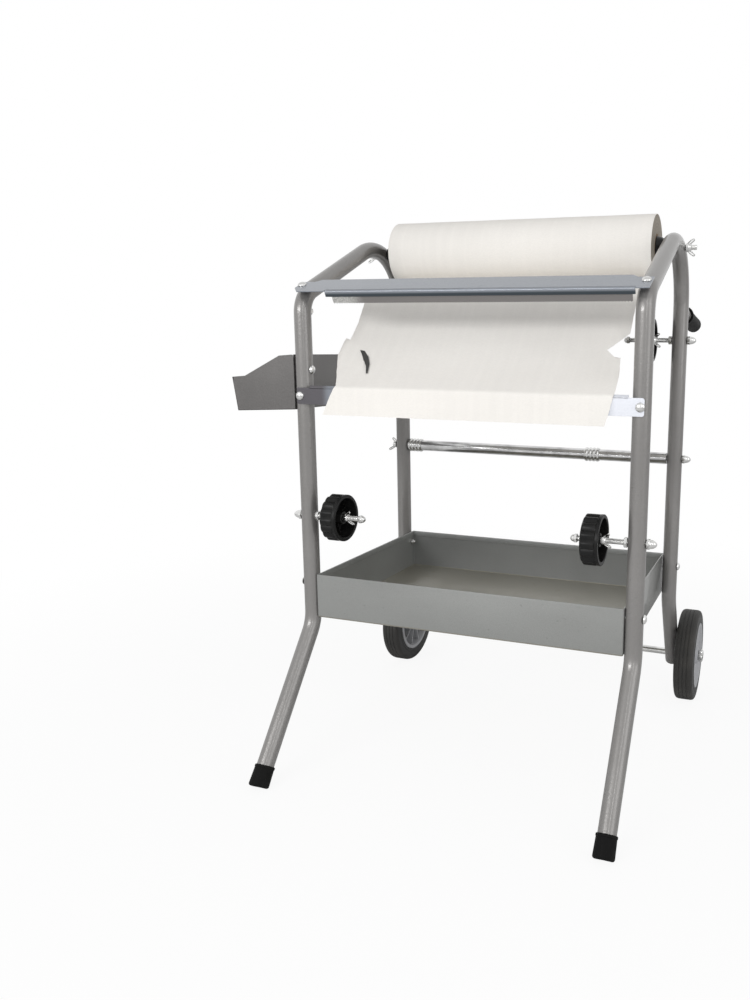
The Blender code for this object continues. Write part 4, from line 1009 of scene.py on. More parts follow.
def build_side_tray():
    """The tray outside the left frame: folded floor and walls between two end plates."""
    low, high = corners_of("side_tray")
    middle = spot("side_tray")
    width = high.x - low.x
    floor_width = 103 * MM
    floor_tilt = 5 * MM
    bottom = low.z + floor_tilt
    outer_height = 46 * MM
    lip = bottom + outer_height
    hem_width = 2.2 * SHEET
    hem_depth = 8 * MM
    hem_gap = 0.3 * MM
    hem_taper = 0.4 * MM
    corner = 4 * MM
    crest = 26 * MM
    crest_drop = 2 * MM
    outer_slope = 23 * MM
    tab_height = 9 * MM
    tab_gap = 1 * MM
    tab_sheet = 0.975 * MM

    def plate(points, setback, run):
        """A plate through points of (distance from the frame, height)."""
        outline = [Vector((high.x - out, setback, height)) - middle for out, height in points]
        return prism(outline, Y_AXIS * run)

    outlines = [
        [(0, bottom), (0, high.z), (SHEET, high.z), (SHEET, bottom + SHEET)],
        [(0, bottom), (SHEET, bottom + SHEET), (floor_width - SHEET, low.z + SHEET), (floor_width, low.z)],
        [
            (floor_width, low.z), (floor_width - SHEET, low.z + SHEET), (width - SHEET, lip - SHEET),
            (width, lip),
        ],
        [
            (width, lip), (width - hem_width, lip), (width - hem_width + hem_taper, lip - hem_depth),
            (width - SHEET - hem_gap, lip - hem_depth),
        ],
    ]
    plates = [plate(outline, low.y, high.y - low.y) for outline in outlines]
    shoulder = Vector((crest, high.z - crest_drop, 0))
    corners = [Vector((0, bottom, 0)), Vector((0, high.z, 0)), shoulder]
    rounded = bent_path(corners, [corner], QUARTER / 6)[1:-1]
    end_plate = [(point.x, point.y) for point in rounded + [shoulder]]
    end_plate += [(width - outer_slope, lip + crest_drop), (width, lip), (floor_width, low.z), (0, bottom)]
    tab = [
        (corner, bottom + SHEET), (corner, bottom + tab_height), (floor_width - tab_gap, low.z + tab_height),
        (floor_width - tab_gap * 2, low.z + SHEET),
    ]
    for end, inside in ((low.y, low.y + SHEET), (high.y - SHEET, high.y - SHEET * 2)):
        plates += [plate(end_plate, end, SHEET), plate(tab, inside, tab_sheet)]
    soften(add_piece("side_tray_sheet", merged(*plates), "side_tray", middle, finish="side_tray"), WIDE_BEVEL)


def build_cutter_bar():
    """The sloping bar and its folded front flange."""
    left_overhang = 6 * MM
    right_overhang = 8 * MM
    left_end = -HALF_SPACING - left_overhang
    right_end = HALF_SPACING + right_overhang
    front = -17 * MM
    rear = 29 * MM
    notch = 8 * MM
    notch_length = 21 * MM
    cut_width = 11 * MM
    cut_depth = 14 * MM
    left_inset = 57 * MM
    right_inset = 18 * MM
    flange_left = left_end + left_inset
    flange_right = right_end - right_inset
    flange_depth = 7.5 * MM
    relief = 0.6 * MM
    fold = 2.6 * MM
    overlap = 3 * MM
    inner_front = front + CUTTER_SHEET
    inner_fold = fold - CUTTER_SHEET
    plate = [
        (left_end + cut_width, front), (flange_left - relief, front), (flange_left - relief, front + fold),
        (flange_right + relief, front + fold), (flange_right + relief, front), (right_end, front),
        (right_end, rear - notch), (right_end - notch_length, rear - notch),
        (right_end - notch_length - notch, rear), (left_end + notch_length + notch, rear),
        (left_end + notch_length, rear - notch), (left_end, rear - notch), (left_end, front + cut_depth),
    ]
    flange = [(inner_front, -flange_depth), (front, -flange_depth)]
    flange += quarter_arc((front, CUTTER_SHEET - fold), (front + fold, CUTTER_SHEET), 6)
    flange += [(front + fold + overlap, CUTTER_SHEET), (front + fold + overlap, 0)]
    flange += quarter_arc((inner_front, -inner_fold), (inner_front + inner_fold, 0), 4)[::-1]
    run = X_AXIS * (flange_right - flange_left)
    shape = merged(
        prism([Vector((x, along, 0)) for x, along in plate], Z_AXIS * CUTTER_SHEET),
        prism([Vector((flange_left, along, up)) for along, up in flange], run),
    )
    seat = FRONT_TOP + SLOPE_NORMAL * (TUBE_RADIUS + SEAT_GAP)
    piece = add_piece(
        "cutter_bar_sheet", shape, "cutter_bar", seat, X_AXIS, "cutter", turn=SLOPE, crease=25 * DEGREE)
    soften(piece, BEVEL)


def build_lower_bar():
    """The strip across the front legs with its sloping top lip."""
    low, high = corners_of("lower_bar")
    rise = 3.5 * MM
    corner = 3 * MM
    lip_inset = 3 * MM
    lip_end = INNER_FACE - lip_inset
    middle = Vector((0, -(TUBE_RADIUS + SEAT_GAP + SHEET), (low.z + high.z - rise) / 2))
    top = high.z - rise - middle.z
    bottom = low.z - middle.z
    strip = []
    for side, height in ((1, top), (-1, top), (-1, bottom), (1, bottom)):
        inward = math.copysign(corner, height)
        arc = quarter_arc((side * high.x, height - inward), (side * (high.x - corner), height), 4)
        strip += arc if side * height > 0 else arc[::-1]
    skew = SHEET / math.sqrt(2)
    lip = [(0, top - SHEET), (0, top), (rise, top + rise), (rise + skew, top + rise - skew)]
    lip.append((SHEET, top - SHEET))
    shape = merged(
        prism([Vector((x, 0, z)) for x, z in strip], Y_AXIS * SHEET),
        prism([Vector((-lip_end, y, z)) for y, z in lip], X_AXIS * lip_end * 2),
    )
    soften(add_piece("lower_bar_sheet", shape, "lower_bar", middle, finish="bars"), FINE_BEVEL)


# Paper

def build_roll():
    """The wound paper with soft edges and layered ends, its board core, and the cones that carry it."""
    node = "paper_roll"
    half = half_size(node).x
    radius = half_size(node).z
    bore = 22.3 * MM
    edge = 0.5 * MM
    dip = 0.12 * MM
    end = [(half - edge, radius), (half - edge / 2, radius - edge / 4), (half, radius - edge), (half, bore)]
    count = 12
    stations = mirrored(end)
    for step in range(1, count):
        stations.append((half * 2 * step / count - half, radius - dip * (1 + math.sin(step * 2.1))))
    shape = turned(stations + end, 128, bored=True)
    piece = add_piece(
        "paper_roll_wound", shape, node, spot(node), finish="paper", body="roll", crease=30 * DEGREE)
    piece.data.materials.append(FINISHES["paper_edges"][0])
    for face in piece.data.polygons:
        if abs(face.normal.x) > 0.9:
            face.material_index = 1
    refinish("roll_core", "board")
    for side in SIDES:
        build_cone(side)


def build_cone(side):
    """A moulded cone: a plug in the core and a stepped nose that runs up to the frame."""
    name = "core_cone_" + side_name(side)
    end = end_of("paper_roll", side)
    frame_gap = 0.8 * MM
    reach = INNER_FACE - abs(end) - frame_gap
    bore = ROD_RADIUS + RUNNING_GAP
    plug = 14 * MM
    plug_tip = 16.6 * MM
    rim = 18.6 * MM
    rim_width = 1.2 * MM
    land = 0.4 * MM
    bevel = 1 * MM
    soft = 0.8 * MM
    shoulder = 16.2 * MM
    nose = 13.5 * MM
    edge = 0.5 * MM
    stations = [
        (-plug, bore), (-plug, plug_tip), (bevel - plug, plug_tip + soft), (-land, rim), (0, rim),
        (rim_width, rim), (rim_width + soft, rim - soft), (reach * 0.45, shoulder),
        (reach * 0.5, shoulder - bevel), (reach * 0.8, shoulder - bevel - soft), (reach * 0.84, nose),
        (reach - edge, nose), (reach, nose - edge), (reach, bore),
    ]
    at = spot("paper_roll")
    at.x = end
    shape = turned(stations, 48, bored=True)
    add_piece(name + "_moulding", shape, name, at, X_AXIS * side, "plastic", "roll")


def web_line(sizes):
    """The paper's path as (Y, Z) points: from under the roll over its nose and the lower bar, and down."""
    roll = spot("paper_roll")
    below_lip = 1.5 * MM
    reach = 2.5 * MM
    front = -(TUBE_RADIUS + SEAT_GAP * 2 + SHEET + sizes.paper_thickness)
    bend = Vector((0, front, high_corner("lower_bar").z - below_lip))
    start = Vector((0, roll.y, roll.z - half_size("paper_roll").z - SEAT_GAP))
    nose = Vector((0, NOSE_SETBACK, start.z))
    fall = []
    for step in range(12, 49):
        share = step / 48
        fall.append(nose.lerp(bend, share) - Z_AXIS * (WEB_SAG * 4 * share * (1 - share)))
    lead = bent_path([start, nose, fall[0]], [NOSE_RADIUS])
    line = [start.lerp(lead[1], step / 20) for step in range(20)] + lead[1:] + fall[1:]
    while (line[-1] - bend).length < reach:
        line.pop()
    below = Vector((0, front, bend.z - reach))
    near = line[-1]
    for step in range(1, 9):
        share = step / 8
        line.append(near.lerp(bend, share).lerp(bend.lerp(below, share), share))
    bottom = Vector((0, front, low_corner("paper_web").z))
    return line + [below.lerp(bottom, step / 11) for step in range(1, 12)]


def nearness(offset, reach):
    """1 at a place, falling to 0 at a reach from it."""
    return max(1 - abs(offset) / reach, 0)


def curl_at(x, height, half):
    """How far the sheet curls forward near its torn corners and its slit, as a share of the curl."""
    left_reach = 26 * MM
    left_rise = 34 * MM
    right_reach = 30 * MM
    pucker_reach = 9 * MM
    slit_x = -0.784 * half
    left = nearness(x + 0.97 * half, left_reach) ** 2 * nearness(height - 0.84 * TORN_HEIGHT, left_rise)
    right = nearness(x - 0.98 * half, right_reach) ** 2 * nearness(height - 0.66 * TORN_HEIGHT, right_reach)
    from_slit = math.hypot(x - slit_x, (height - 0.64 * TORN_HEIGHT) * 0.7)
    pucker = math.exp(-(from_slit / pucker_reach) ** 2) * (0.6 if x < slit_x else -0.2)
    return left * 1.2 + right * 0.7 + pucker * 0.8


def build_web(sizes):
    """The paper drawn off the roll: soft waves, torn and curled edges, and the slit near the left edge."""
    base = low_corner("paper_web").z
    margin = 0.9 * MM
    spare = 3.5 * MM
    least_lift = -0.2 * MM
    half = half_size("paper_roll").x - margin
    edge = half + spare
    line = web_line(sizes)
    rows = len(line)
    columns = 120
    top = []
    under = []
    for row, point in enumerate(line):
        normal = (line[min(row + 1, rows - 1)] - line[max(row - 1, 0)]).cross(X_AXIS).normalized()
        held = min(row / 18, 1) * min(abs(row - (rows - 18)) / 12, 1)
        hanging = max((row - (rows - 11)) / 11, 0)
        top_row = []
        for column in range(columns + 1):
            x = -edge + edge * 2 * column / columns
            wave = noise.noise(Vector((x * 7, row * 0.055, 3))) * sizes.paper_wave * 2 * held
            wave += noise.noise(Vector((x * 13, 7, row * 0.02))) * sizes.paper_wave * 2.2 * hanging
            lift = wave + sizes.paper_curl * curl_at(x, point.z - base, half)
            if row > rows - 24:
                lift = max(lift, least_lift)
            place = point + normal * lift
            top_row.append(Vector((x, place.y, place.z)))
        top.append(top_row)
        under.append([place - normal * sizes.paper_thickness for place in top_row])
    shape = sheet_of(top, under)
    middle = Vector((0, line[rows // 2].y, line[rows // 2].z))
    bmesh.ops.translate(shape, verts=shape.verts, vec=-middle)
    middle.x = spot("paper_roll").x
    crease = 50 * DEGREE
    web = add_piece("paper_web_sheet", shape, "paper_web", middle, finish="paper", crease=crease)
    cut(web, [
        torn_tool(torn_points([*SLIT_SHARES, SLIT_SHARES[0]], half, base, SLIT_JAG)[:-1], -1),
        torn_tool(torn_points(RIGHT_EDGE_SHARES, half, base, JAG), 1, edge + BEYOND_EDGE),
        torn_tool(torn_points(LEFT_EDGE_SHARES, half, base, JAG), -1, edge + BEYOND_EDGE),
    ])
    web.data.shade_smooth()
    web.data.set_sharp_from_angle(angle=crease)
    build_slit_shade_sheet(line, half, base)


def sheet_of(top, under):
    """A thin closed sheet from two grids of points."""
    shape = bmesh.new()
    rims = []
    for points in (top, under):
        grid = [[shape.verts.new(point) for point in row] for row in points]
        for row, next_row in zip(grid, grid[1:]):
            for column in range(len(row) - 1):
                shape.faces.new((row[column], row[column + 1], next_row[column + 1], next_row[column]))
        right = [row[-1] for row in grid[1:]]
        left = [row[0] for row in grid[-2:0:-1]]
        rims.append(grid[0] + right + grid[-1][-2::-1] + left)
    bridge(shape, *rims)
    bmesh.ops.recalc_face_normals(shape, faces=shape.faces)
    return shape


def torn_points(shares, half, base, jag):
    """Torn edge points in X and Z: the chosen points, joined by short uneven steps."""
    chosen = [Vector((out * half, up * TORN_HEIGHT + base)) for out, up in shares]
    points = []
    for here, there in zip(chosen, chosen[1:]):
        steps = max(int((there - here).length / JAG_SPACING), 1)
        across = Vector((here.y - there.y, there.x - here.x)).normalized()
        for step in range(steps):
            point = here.lerp(there, step / steps)
            if step:
                point += across * jag * noise.noise(Vector((point.x, point.y, 0)) * 900)
            points.append(point)
    return points + [chosen[-1]]


def torn_tool(points, side, outside=None):
    """A solid through the paper along Y: the outline alone, or everything beyond it on its side."""
    front = -60 * MM
    top = 900 * MM
    below = 20 * MM
    foot = points[0].y - below
    outline = [(side * point.x, point.y) for point in points]
    if outside is not None:
        outline += [(outline[-1][0], top), (side * outside, top)]
        outline += [(side * outside, foot), (outline[0][0], foot)]
    shape = prism([Vector((x, front, z)) for x, z in outline], Y_AXIS * (REAR_LEG - front))
    tool = new_object("torn_tool", mesh_of("torn_tool", shape))
    tool.location = ORIGIN + X_AXIS * spot("paper_roll").x
    return tool


def cut(piece, tools):
    """Cut tools from a piece and remove them."""
    for tool in tools:
        step = piece.modifiers.new("cut", "BOOLEAN")
        step.operation = "DIFFERENCE"
        step.object = tool
    bpy.context.view_layer.update()
    shaped = piece.evaluated_get(bpy.context.evaluated_depsgraph_get())
    mesh = bpy.data.meshes.new_from_object(shaped)
    piece.modifiers.clear()
    piece.data = mesh
    for tool in tools:
        bpy.data.objects.remove(tool)


def setback_at(line, height):
    """How far behind the front legs the sloping paper is at a height."""
    for upper, lower in zip(line, line[1:]):
        if lower.z <= height < upper.z:
            return upper.lerp(lower, (upper.z - height) / (upper.z - lower.z)).y
    return line[-1].y


def build_slit_shade_sheet(line, half, base):
    """A dark sheet a little behind the paper, painting the shade seen through the slit."""
    spread = 1.12
    behind = 1 * MM
    middle_out = sum(out for out, up in SLIT_SHARES) / len(SLIT_SHARES)
    middle_up = sum(up for out, up in SLIT_SHARES) / len(SLIT_SHARES)
    points = []
    for out, up in SLIT_SHARES:
        out = middle_out + (out - middle_out) * spread
        height = (middle_up + (up - middle_up) * spread) * TORN_HEIGHT + base
        points.append(Vector((-out * half, setback_at(line, height), height)))
    back = (points[0] - points[4]).cross(X_AXIS).normalized() * -behind
    middle = sum(points, Vector()) / len(points)
    shape = prism([point - middle + back for point in points], back * 0.3)
    # The sheet takes the dark painted shade finish
    add_piece("paper_web_slit_shade", shape, None, middle + X_AXIS * spot("paper_roll").x, finish="lip")


# Threads, nuts and bolts

def thread_at(place, radius):
    """The radius of a screw thread at each angle, at a place along it."""
    return lambda angle: radius - THREAD_DEPTH * abs((place / THREAD_PITCH - angle / math.tau) % 1 * 2 - 1)


def threaded(start, end, radius):
    """A threaded rod from one place to another along X."""
    steps = max(int((end - start) / THREAD_PITCH * THREAD_STEPS), 2)
    places = [start + (end - start) * step / steps for step in range(steps + 1)]
    tip = radius - THREAD_DEPTH * 1.3
    threads = [(place, thread_at(place, radius)) for place in places[1:-1]]
    return turned([(start, tip)] + threads + [(places[-1], tip)], 18)


def domed_nut(height, flats, length, radius, bore_depth=0):
    """A hexagon nut closed by a dome, bored for its rod to a depth."""
    bore = ROD_RADIUS + SEAT_GAP
    stations = [(bore_depth, bore), (0, bore)] if bore_depth else []
    stations += nut_stations(0, height, flats, far_chamfer=False) + dome(height, length - height, radius)
    return turned(stations, 48)


def wing(side):
    """One wing: a bent wire loop that leans outward."""
    wire = WING_THICKNESS / 2
    rise = WING_RISE - wire
    span = WING_SPAN / 2 - wire
    path = [Vector((along * rise, 0, side * out * span)) for along, out in WING_SHARES]
    rings = []
    for point, before, after in zip(path, path[:1] + path, path[1:] + path[-1:]):
        rings.append(circle(point, (after - before).normalized().cross(Y_AXIS), Y_AXIS, wire, 14))
    return loft(rings)


def build_wing_nut(node, body, at, aim, turn, shank=0.0):
    """A cast wing nut, or a wing bolt when it has a shank."""
    hub = WING_HUB_RADIUS
    height = WING_HUB_LENGTH
    bore = ROD_RADIUS + SEAT_GAP
    edge = 0.5 * MM
    profile = [(0, hub - edge), (edge, hub), (height * 0.5, hub * 0.93)]
    if shank:
        stations = [(0, ROD_RADIUS)] + profile + dome(height * 0.6, height * 0.4, hub * 0.9, 5)
        pieces = [turned(stations, 40), threaded(-shank, THREAD_OVERLAP, ROD_RADIUS)]
    else:
        stations = [(0, bore)] + profile + [(height * 0.92, hub * 0.84), (height, hub * 0.76), (height, bore)]
        pieces = [turned(stations, 40, bored=True)]
    pieces += [wing(side) for side in SIDES]
    soften(add_piece(node + "_cast", merged(*pieces), node, at, aim, body=body, turn=turn), WIDE_BEVEL)


def build_bolt(node, seat, aim, grip):
    """A dome headed bolt with its nut and the thread beyond it."""
    nut_end = grip + NUT_HEIGHT
    overlap = 0.2 * MM
    head = mirrored(dome(0, HEAD_HEIGHT, HEAD_RADIUS, 8)) + [(0, SHANK_RADIUS), (grip, SHANK_RADIUS)]
    shape = merged(
        turned(head, 40),
        turned(nut_stations(grip, NUT_HEIGHT, NUT_FLATS), 48),
        threaded(nut_end - overlap, nut_end + SHANK_TIP, SHANK_RADIUS),
    )
    add_piece(node + "_set", shape, node, seat, aim)


def build_bolts():
    """Every bolt of the trays and bars."""
    grip = TUBE_RADIUS * 2 + SHEET + SEAT_GAP * 3
    for side in SIDES:
        for place in ("front", "rear"):
            node = "tray_bolt_" + place + "_" + side_name(side)
            seat = spot(node)
            seat.x = side * (OUTER_FACE + SEAT_GAP)
            build_bolt(node, seat, X_AXIS * -side, grip)
        node = "lower_bar_bolt_" + side_name(side)
        seat = spot(node)
        seat.y = -(TUBE_RADIUS + SEAT_GAP * 2 + SHEET)
        build_bolt(node, seat, Y_AXIS, grip)
        node = "cutter_bolt_" + side_name(side)
        height = half_size(node).z * 2 - (HEAD_RADIUS + SHANK_RADIUS) * math.sin(SLOPE)
        bend_end = FRONT_TOP_RADIUS * math.tan((QUARTER - SLOPE) / 2)
        seat = FRONT_TOP + SLOPE_NORMAL * (TUBE_RADIUS + SEAT_GAP * 2 + CUTTER_SHEET)
        seat += UPHILL * (bend_end - CUTTER_BOLT_SETBACK)
        seat.x = spot(node).x
        build_bolt(node, seat, -SLOPE_NORMAL, height / math.cos(SLOPE) - HEAD_HEIGHT - NUT_HEIGHT - SHANK_TIP)
    for place in ("front", "rear"):
        node = "side_tray_bolt_" + place
        seat = spot(node)
        seat.x = SEAT_GAP - INNER_FACE
        build_bolt(node, seat, -X_AXIS, grip)


def build_end_bolts():
    """The wing bolt and the cap bolt at the ends of the roller bar, and the roll's spindle and wing nuts."""
    outside = OUTER_FACE + SEAT_GAP
    bar = spot("roller_bar")
    left = Vector((-outside, bar.y, bar.z))
    right = Vector((outside, bar.y, bar.z))
    build_wing_nut("roller_wing_bolt", "roller_wing", left, -X_AXIS, math.pi / 5, BAR_BOLT_REACH)
    shape = merged(
        domed_nut(ROD_NUT_HEIGHT, ROD_NUT_FLATS, CAP_NUT_LENGTH, CAP_NUT_DOME),
        threaded(-BAR_BOLT_REACH, THREAD_OVERLAP, ROD_RADIUS),
    )
    add_piece("roller_cap_bolt_dome", shape, "roller_cap_bolt", right, X_AXIS)

    half = half_size("roll_spindle").x
    plain = half - SPINDLE_THREAD
    shape = merged(
        turned([(-plain, ROD_RADIUS), (plain, ROD_RADIUS)], 32),
        threaded(-half, -plain, ROD_RADIUS),
        threaded(plain, half, ROD_RADIUS),
    )
    add_piece("roll_spindle_rod", shape, "roll_spindle", spot("roll_spindle"))
    roll = spot("paper_roll")
    for side in SIDES:
        name = side_name(side)
        seat = Vector((side * outside, roll.y, roll.z))
        build_wing_nut("roll_wing_nut_" + name, "roll_wing_" + name, seat, X_AXIS * side, math.pi / 8)


# Roller bar

def build_roller_bar():
    """The plated bar with its two ribbed collars."""
    node = "roller_bar"
    half = half_size(node).x
    radius = half_size(node).z
    edge = 0.5 * MM
    end = [(half - edge, radius), (half, radius - edge), (half, ROD_RADIUS + RUNNING_GAP)]
    shape = turned(mirrored(end) + end, 64, bored=True)
    add_piece("roller_bar_tube", shape, node, spot(node), finish="bar_chrome", body="roller")
    for side in SIDES:
        build_collar(side, radius + SEAT_GAP)


def build_collar(side, bore):
    """A sliding collar with four rounded ribs."""
    name = "roller_collar_" + side_name(side)
    half = half_size(name).x
    root = 10.7 * MM
    crest = 12 * MM
    ribs = 4
    steps = 10
    stations = [(-half, bore), (-half, root)]
    for step in range(1, ribs * steps):
        swell = (0.5 - 0.5 * math.cos(math.tau * step / steps)) ** 0.6
        stations.append((half * 2 * step / (ribs * steps) - half, root + (crest - root) * swell))
    stations += [(half, root), (half, bore)]
    shape = turned(stations, 64, bored=True)
    add_piece(name + "_rings", shape, name, spot(name), body=side_name(side) + "_collar", crease=50 * DEGREE)


# Tape hubs

def hub_shape(sizes):
    """A ribbed cup: closed at -X, open at +X, with a boss and thin webs inside."""
    half = HUB_HALF_WIDTH
    tip = HUB_RADIUS
    ribs = sizes.hub_ribs
    groove = tip - ribs
    wall = 3 * MM
    inner = groove - wall
    floor = wall - half
    boss = 10 * MM
    bore = ROD_RADIUS + RUNNING_GAP
    recess = half - HUB_RECESS
    rim_width = 5 * MM
    ledge = half - rim_width
    dish = 1.2 * MM
    dish_slope = 1.6 * MM
    face_edge = 5.4 * MM
    face_corner = 2.6 * MM
    rolled = 1.4 * MM
    hair = 0.4 * MM
    bevel = 0.5 * MM
    edge = 0.6 * MM
    crown = 0.2 * MM
    soft = 0.8 * MM
    web_half = 0.9 * MM
    web_depth = 5.5 * MM

    def ribbed(base, height):
        """Raised bars with flat crests and narrow grooves."""
        return lambda angle: base + height * (0.5 + 0.5 * math.cos(angle * 16)) ** 0.55

    stations = [
        (-half, bore), (-half, boss), (dish - half, boss + dish_slope),
        (dish - half, groove - face_edge - dish_slope), (-half, groove - face_edge),
        (-half, groove - face_corner), (bevel - half, ribbed(groove - rolled, hair)),
        (rolled - half, ribbed(groove - hair, ribs * 0.6)), (rolled * 2 - half, ribbed(groove, ribs * 0.92)),
        (rolled * 3 - half, ribbed(groove, ribs)), (ledge - dish_slope, ribbed(groove, ribs)),
        (ledge - bevel, ribbed(groove, ribs * 0.8)), (ledge, ribbed(groove + edge, ribs * 0.3)),
        (ledge + bevel, tip - edge), (ledge + bevel * 2, tip - crown), (half - soft, tip - crown),
        (half, tip - crown - soft), (half, inner + edge), (half - edge, inner), (floor, inner - soft),
        (floor, boss + bevel * 2), (floor + bevel * 2, boss), (recess - bevel, boss - hair),
        (recess, boss - hair - bevel), (recess, bore),
    ]
    web_start = (floor - bevel, boss - bevel * 2, -web_half)
    webs = spokes(web_start, (floor + web_depth, inner + bevel, web_half), 8, 0.5)
    return merged(turned(stations, 192, bored=True), *webs)


def build_hub(name, side, sizes):
    """One tape hub with its threaded spindle and nuts."""
    node = name + "_tape_hub"
    middle = spot(node)
    shape = hub_shape(sizes)
    body = name + "_hub"
    add_piece(node + "_moulding", shape, node, middle, finish="plastic", body=body, crease=32 * DEGREE)

    spindle = name + "_tape_spindle"
    leg_nut = side * (INNER_FACE - SEAT_GAP) - (ROD_NUT_HEIGHT if side > 0 else 0) - middle.x
    face_nut = -HUB_HALF_WIDTH - SEAT_GAP - ROD_NUT_HEIGHT
    parts = [threaded(end_of(spindle, -1) - middle.x, end_of(spindle, 1) - middle.x, ROD_RADIUS)]
    for place in (leg_nut, face_nut):
        parts.append(turned(nut_stations(place, ROD_NUT_HEIGHT, ROD_NUT_FLATS), 48))
    add_piece(spindle + "_rod", merged(*parts), spindle, middle)

    seat = middle + X_AXIS * (HUB_HALF_WIDTH - HUB_RECESS + SEAT_GAP)
    build_wing_nut(name + "_tape_wing_nut", name + "_hub_wing", seat, X_AXIS, math.pi / 6)

    cap = name + "_tape_cap_nut"
    shape = domed_nut(ROD_NUT_HEIGHT, ROD_NUT_FLATS, CAP_NUT_LENGTH, CAP_NUT_DOME, CAP_NUT_BORE)
    at = Vector((side * (OUTER_FACE + SEAT_GAP), middle.y, middle.z))
    add_piece(cap + "_dome", shape, cap, at, X_AXIS * side)

    end = name + "_tape_end_nut"
    shape = domed_nut(END_NUT_HEIGHT, END_NUT_FLATS, END_NUT_LENGTH, END_NUT_DOME, END_NUT_BORE)
    at = Vector((end_of(end, side), middle.y, middle.z))
    add_piece(end + "_dome", shape, end, at, X_AXIS * -side)


# Studio

CAMERA_PLACE = Vector((448.9, -1038.3, 625.8)) * MM
CAMERA_TURN = 18.15 * DEGREE
CAMERA_PITCH = 9.99 * DEGREE
CAMERA_ROLL = -0.72 * DEGREE
CAMERA_SHIFT = (-0.160, -0.009)
LAMP_TARGET = Vector((0, 0, 0.5))
KEY_SIZE = (1.6, 0.5)
KEY_PLACE = Vector((-0.8, -2.4, 1.33))
FILL_SIZE = (1.2, 1.8)
FILL_PLACE = Vector((2.4, -1.0, 1.3))
STRIP_SIZE = (0.12, 1.8)
STRIP_PLACE = Vector((1.3, -2.2, 1.6))
FLOOR_HALF_WIDTH = 12.0
SHADOW_END = 0.45
WHITE_START = 1.6


def build_camera(studio):
    """The camera at the photograph's place."""
    ahead = Vector((-math.sin(CAMERA_TURN), math.cos(CAMERA_TURN), 0))
    forward = ahead * math.cos(CAMERA_PITCH) - Z_AXIS * math.sin(CAMERA_PITCH)
    right = ahead.cross(Z_AXIS)
    down = forward.cross(right)
    level = right * math.cos(CAMERA_ROLL) + down * math.sin(CAMERA_ROLL)
    plumb = down * math.cos(CAMERA_ROLL) - right * math.sin(CAMERA_ROLL)
    lens = bpy.data.cameras.new("camera")
    lens.lens = studio.focal_length
    lens.shift_x, lens.shift_y = CAMERA_SHIFT
    camera = new_object("camera", lens)
    turn = Matrix((level, -plumb, -forward)).transposed()
    camera.matrix_world = Matrix.Translation(ORIGIN + CAMERA_PLACE) @ turn.to_4x4()
    bpy.context.scene.camera = camera


def add_lamp(name, power, size, place):
    """A soft rectangular lamp aimed at the dispenser, unseen by the camera."""
    light = bpy.data.lights.new(name, "AREA")
    light.energy = power
    light.shape = "RECTANGLE"
    light.size, light.size_y = size
    lamp = new_object(name, light)
    lamp.location = place
    lamp.rotation_euler = (LAMP_TARGET - place).to_track_quat("-Z", "Y").to_euler()
    lamp.visible_camera = False


def build_floor():
    """A plain pale floor that shows white but keeps the object's shadow."""
    surface = Surface("pale_floor")
    material = surface.finish((0.93, 0.93, 0.93, 1), 0.9)
    seen = surface.node("LightPath", output="Is Camera Ray")
    glow = surface.node("Emission", inputs={"Color": (1, 1, 1, 1), "Strength": 1.0})
    away = surface.distance("X", "Y").between(SHADOW_END, WHITE_START)
    share = seen * (away * 0.09 + 0.91)
    lit = Value(surface, surface.shader.outputs[0])
    mixed = surface.node("MixShader", inputs={0: share, 1: lit, 2: glow})
    surface.feed(surface.tree.nodes["Material Output"].inputs["Surface"], mixed)
    shape = bmesh.new()
    corners = [Vector((x, y, 0)) * FLOOR_HALF_WIDTH for x, y in ((-1, -1), (1, -1), (1, 1), (-1, 1))]
    shape.faces.new([shape.verts.new(corner) for corner in corners])
    mesh = mesh_of("floor", shape)
    mesh.materials.append(material)
    new_object("floor", mesh)


def build_sky(studio):
    """Even light from all round, with a white backdrop for the camera and for reflections."""
    world = bpy.data.worlds.new("sky")
    bpy.context.scene.world = world
    sky = NodeTree(world)
    sky.tree.nodes.clear()
    camera, through, glossy = [
        sky.node("LightPath", output=f"Is {ray} Ray") for ray in ("Camera", "Transmission", "Glossy")]
    bright = camera.highest(through).highest(glossy)
    strength = sky.node("MapRange", inputs={"Value": bright, "To Min": studio.sky, "To Max": 1.0})
    shade = sky.node("Background", inputs={"Color": (1, 1, 1, 1), "Strength": strength})
    output = sky.tree.nodes.new("ShaderNodeOutputWorld")
    sky.feed(output.inputs["Surface"], shade)

# Operators, one for each group of pieces

class DISPENSER_OT_frames(Operator):
    """Build the two side frames."""

    bl_idname = "dispenser.frames"
    bl_label = "Frames"

    def execute(self, context):
        for side in SIDES:
            build_frame(side, context.scene.dispenser_sizes)
        return {"FINISHED"}


class DISPENSER_OT_feet(Operator):
    """Build the two ferrules."""

    bl_idname = "dispenser.feet"
    bl_label = "Feet"

    def execute(self, context):
        for side in SIDES:
            build_foot(side)
        return {"FINISHED"}


class DISPENSER_OT_handles(Operator):
    """Build the handles, their welds and grips."""

    bl_idname = "dispenser.handles"
    bl_label = "Handles"

    def execute(self, context):
        for side in SIDES:
            build_handle(side, context.scene.dispenser_sizes)
        return {"FINISHED"}


class DISPENSER_OT_wheels(Operator):
    """Build the tyres, discs, axle and axle nuts."""

    bl_idname = "dispenser.wheels"
    bl_label = "Wheels"

    def execute(self, context):
        for side in SIDES:
            build_tyre(side, context.scene.dispenser_sizes)
            build_disc(side)
        build_axle()
        return {"FINISHED"}


class DISPENSER_OT_trays(Operator):
    """Build the bottom tray and the side tray."""

    bl_idname = "dispenser.trays"
    bl_label = "Trays"

    def execute(self, context):
        build_bottom_tray(context.scene.dispenser_sizes)
        build_side_tray()
        return {"FINISHED"}


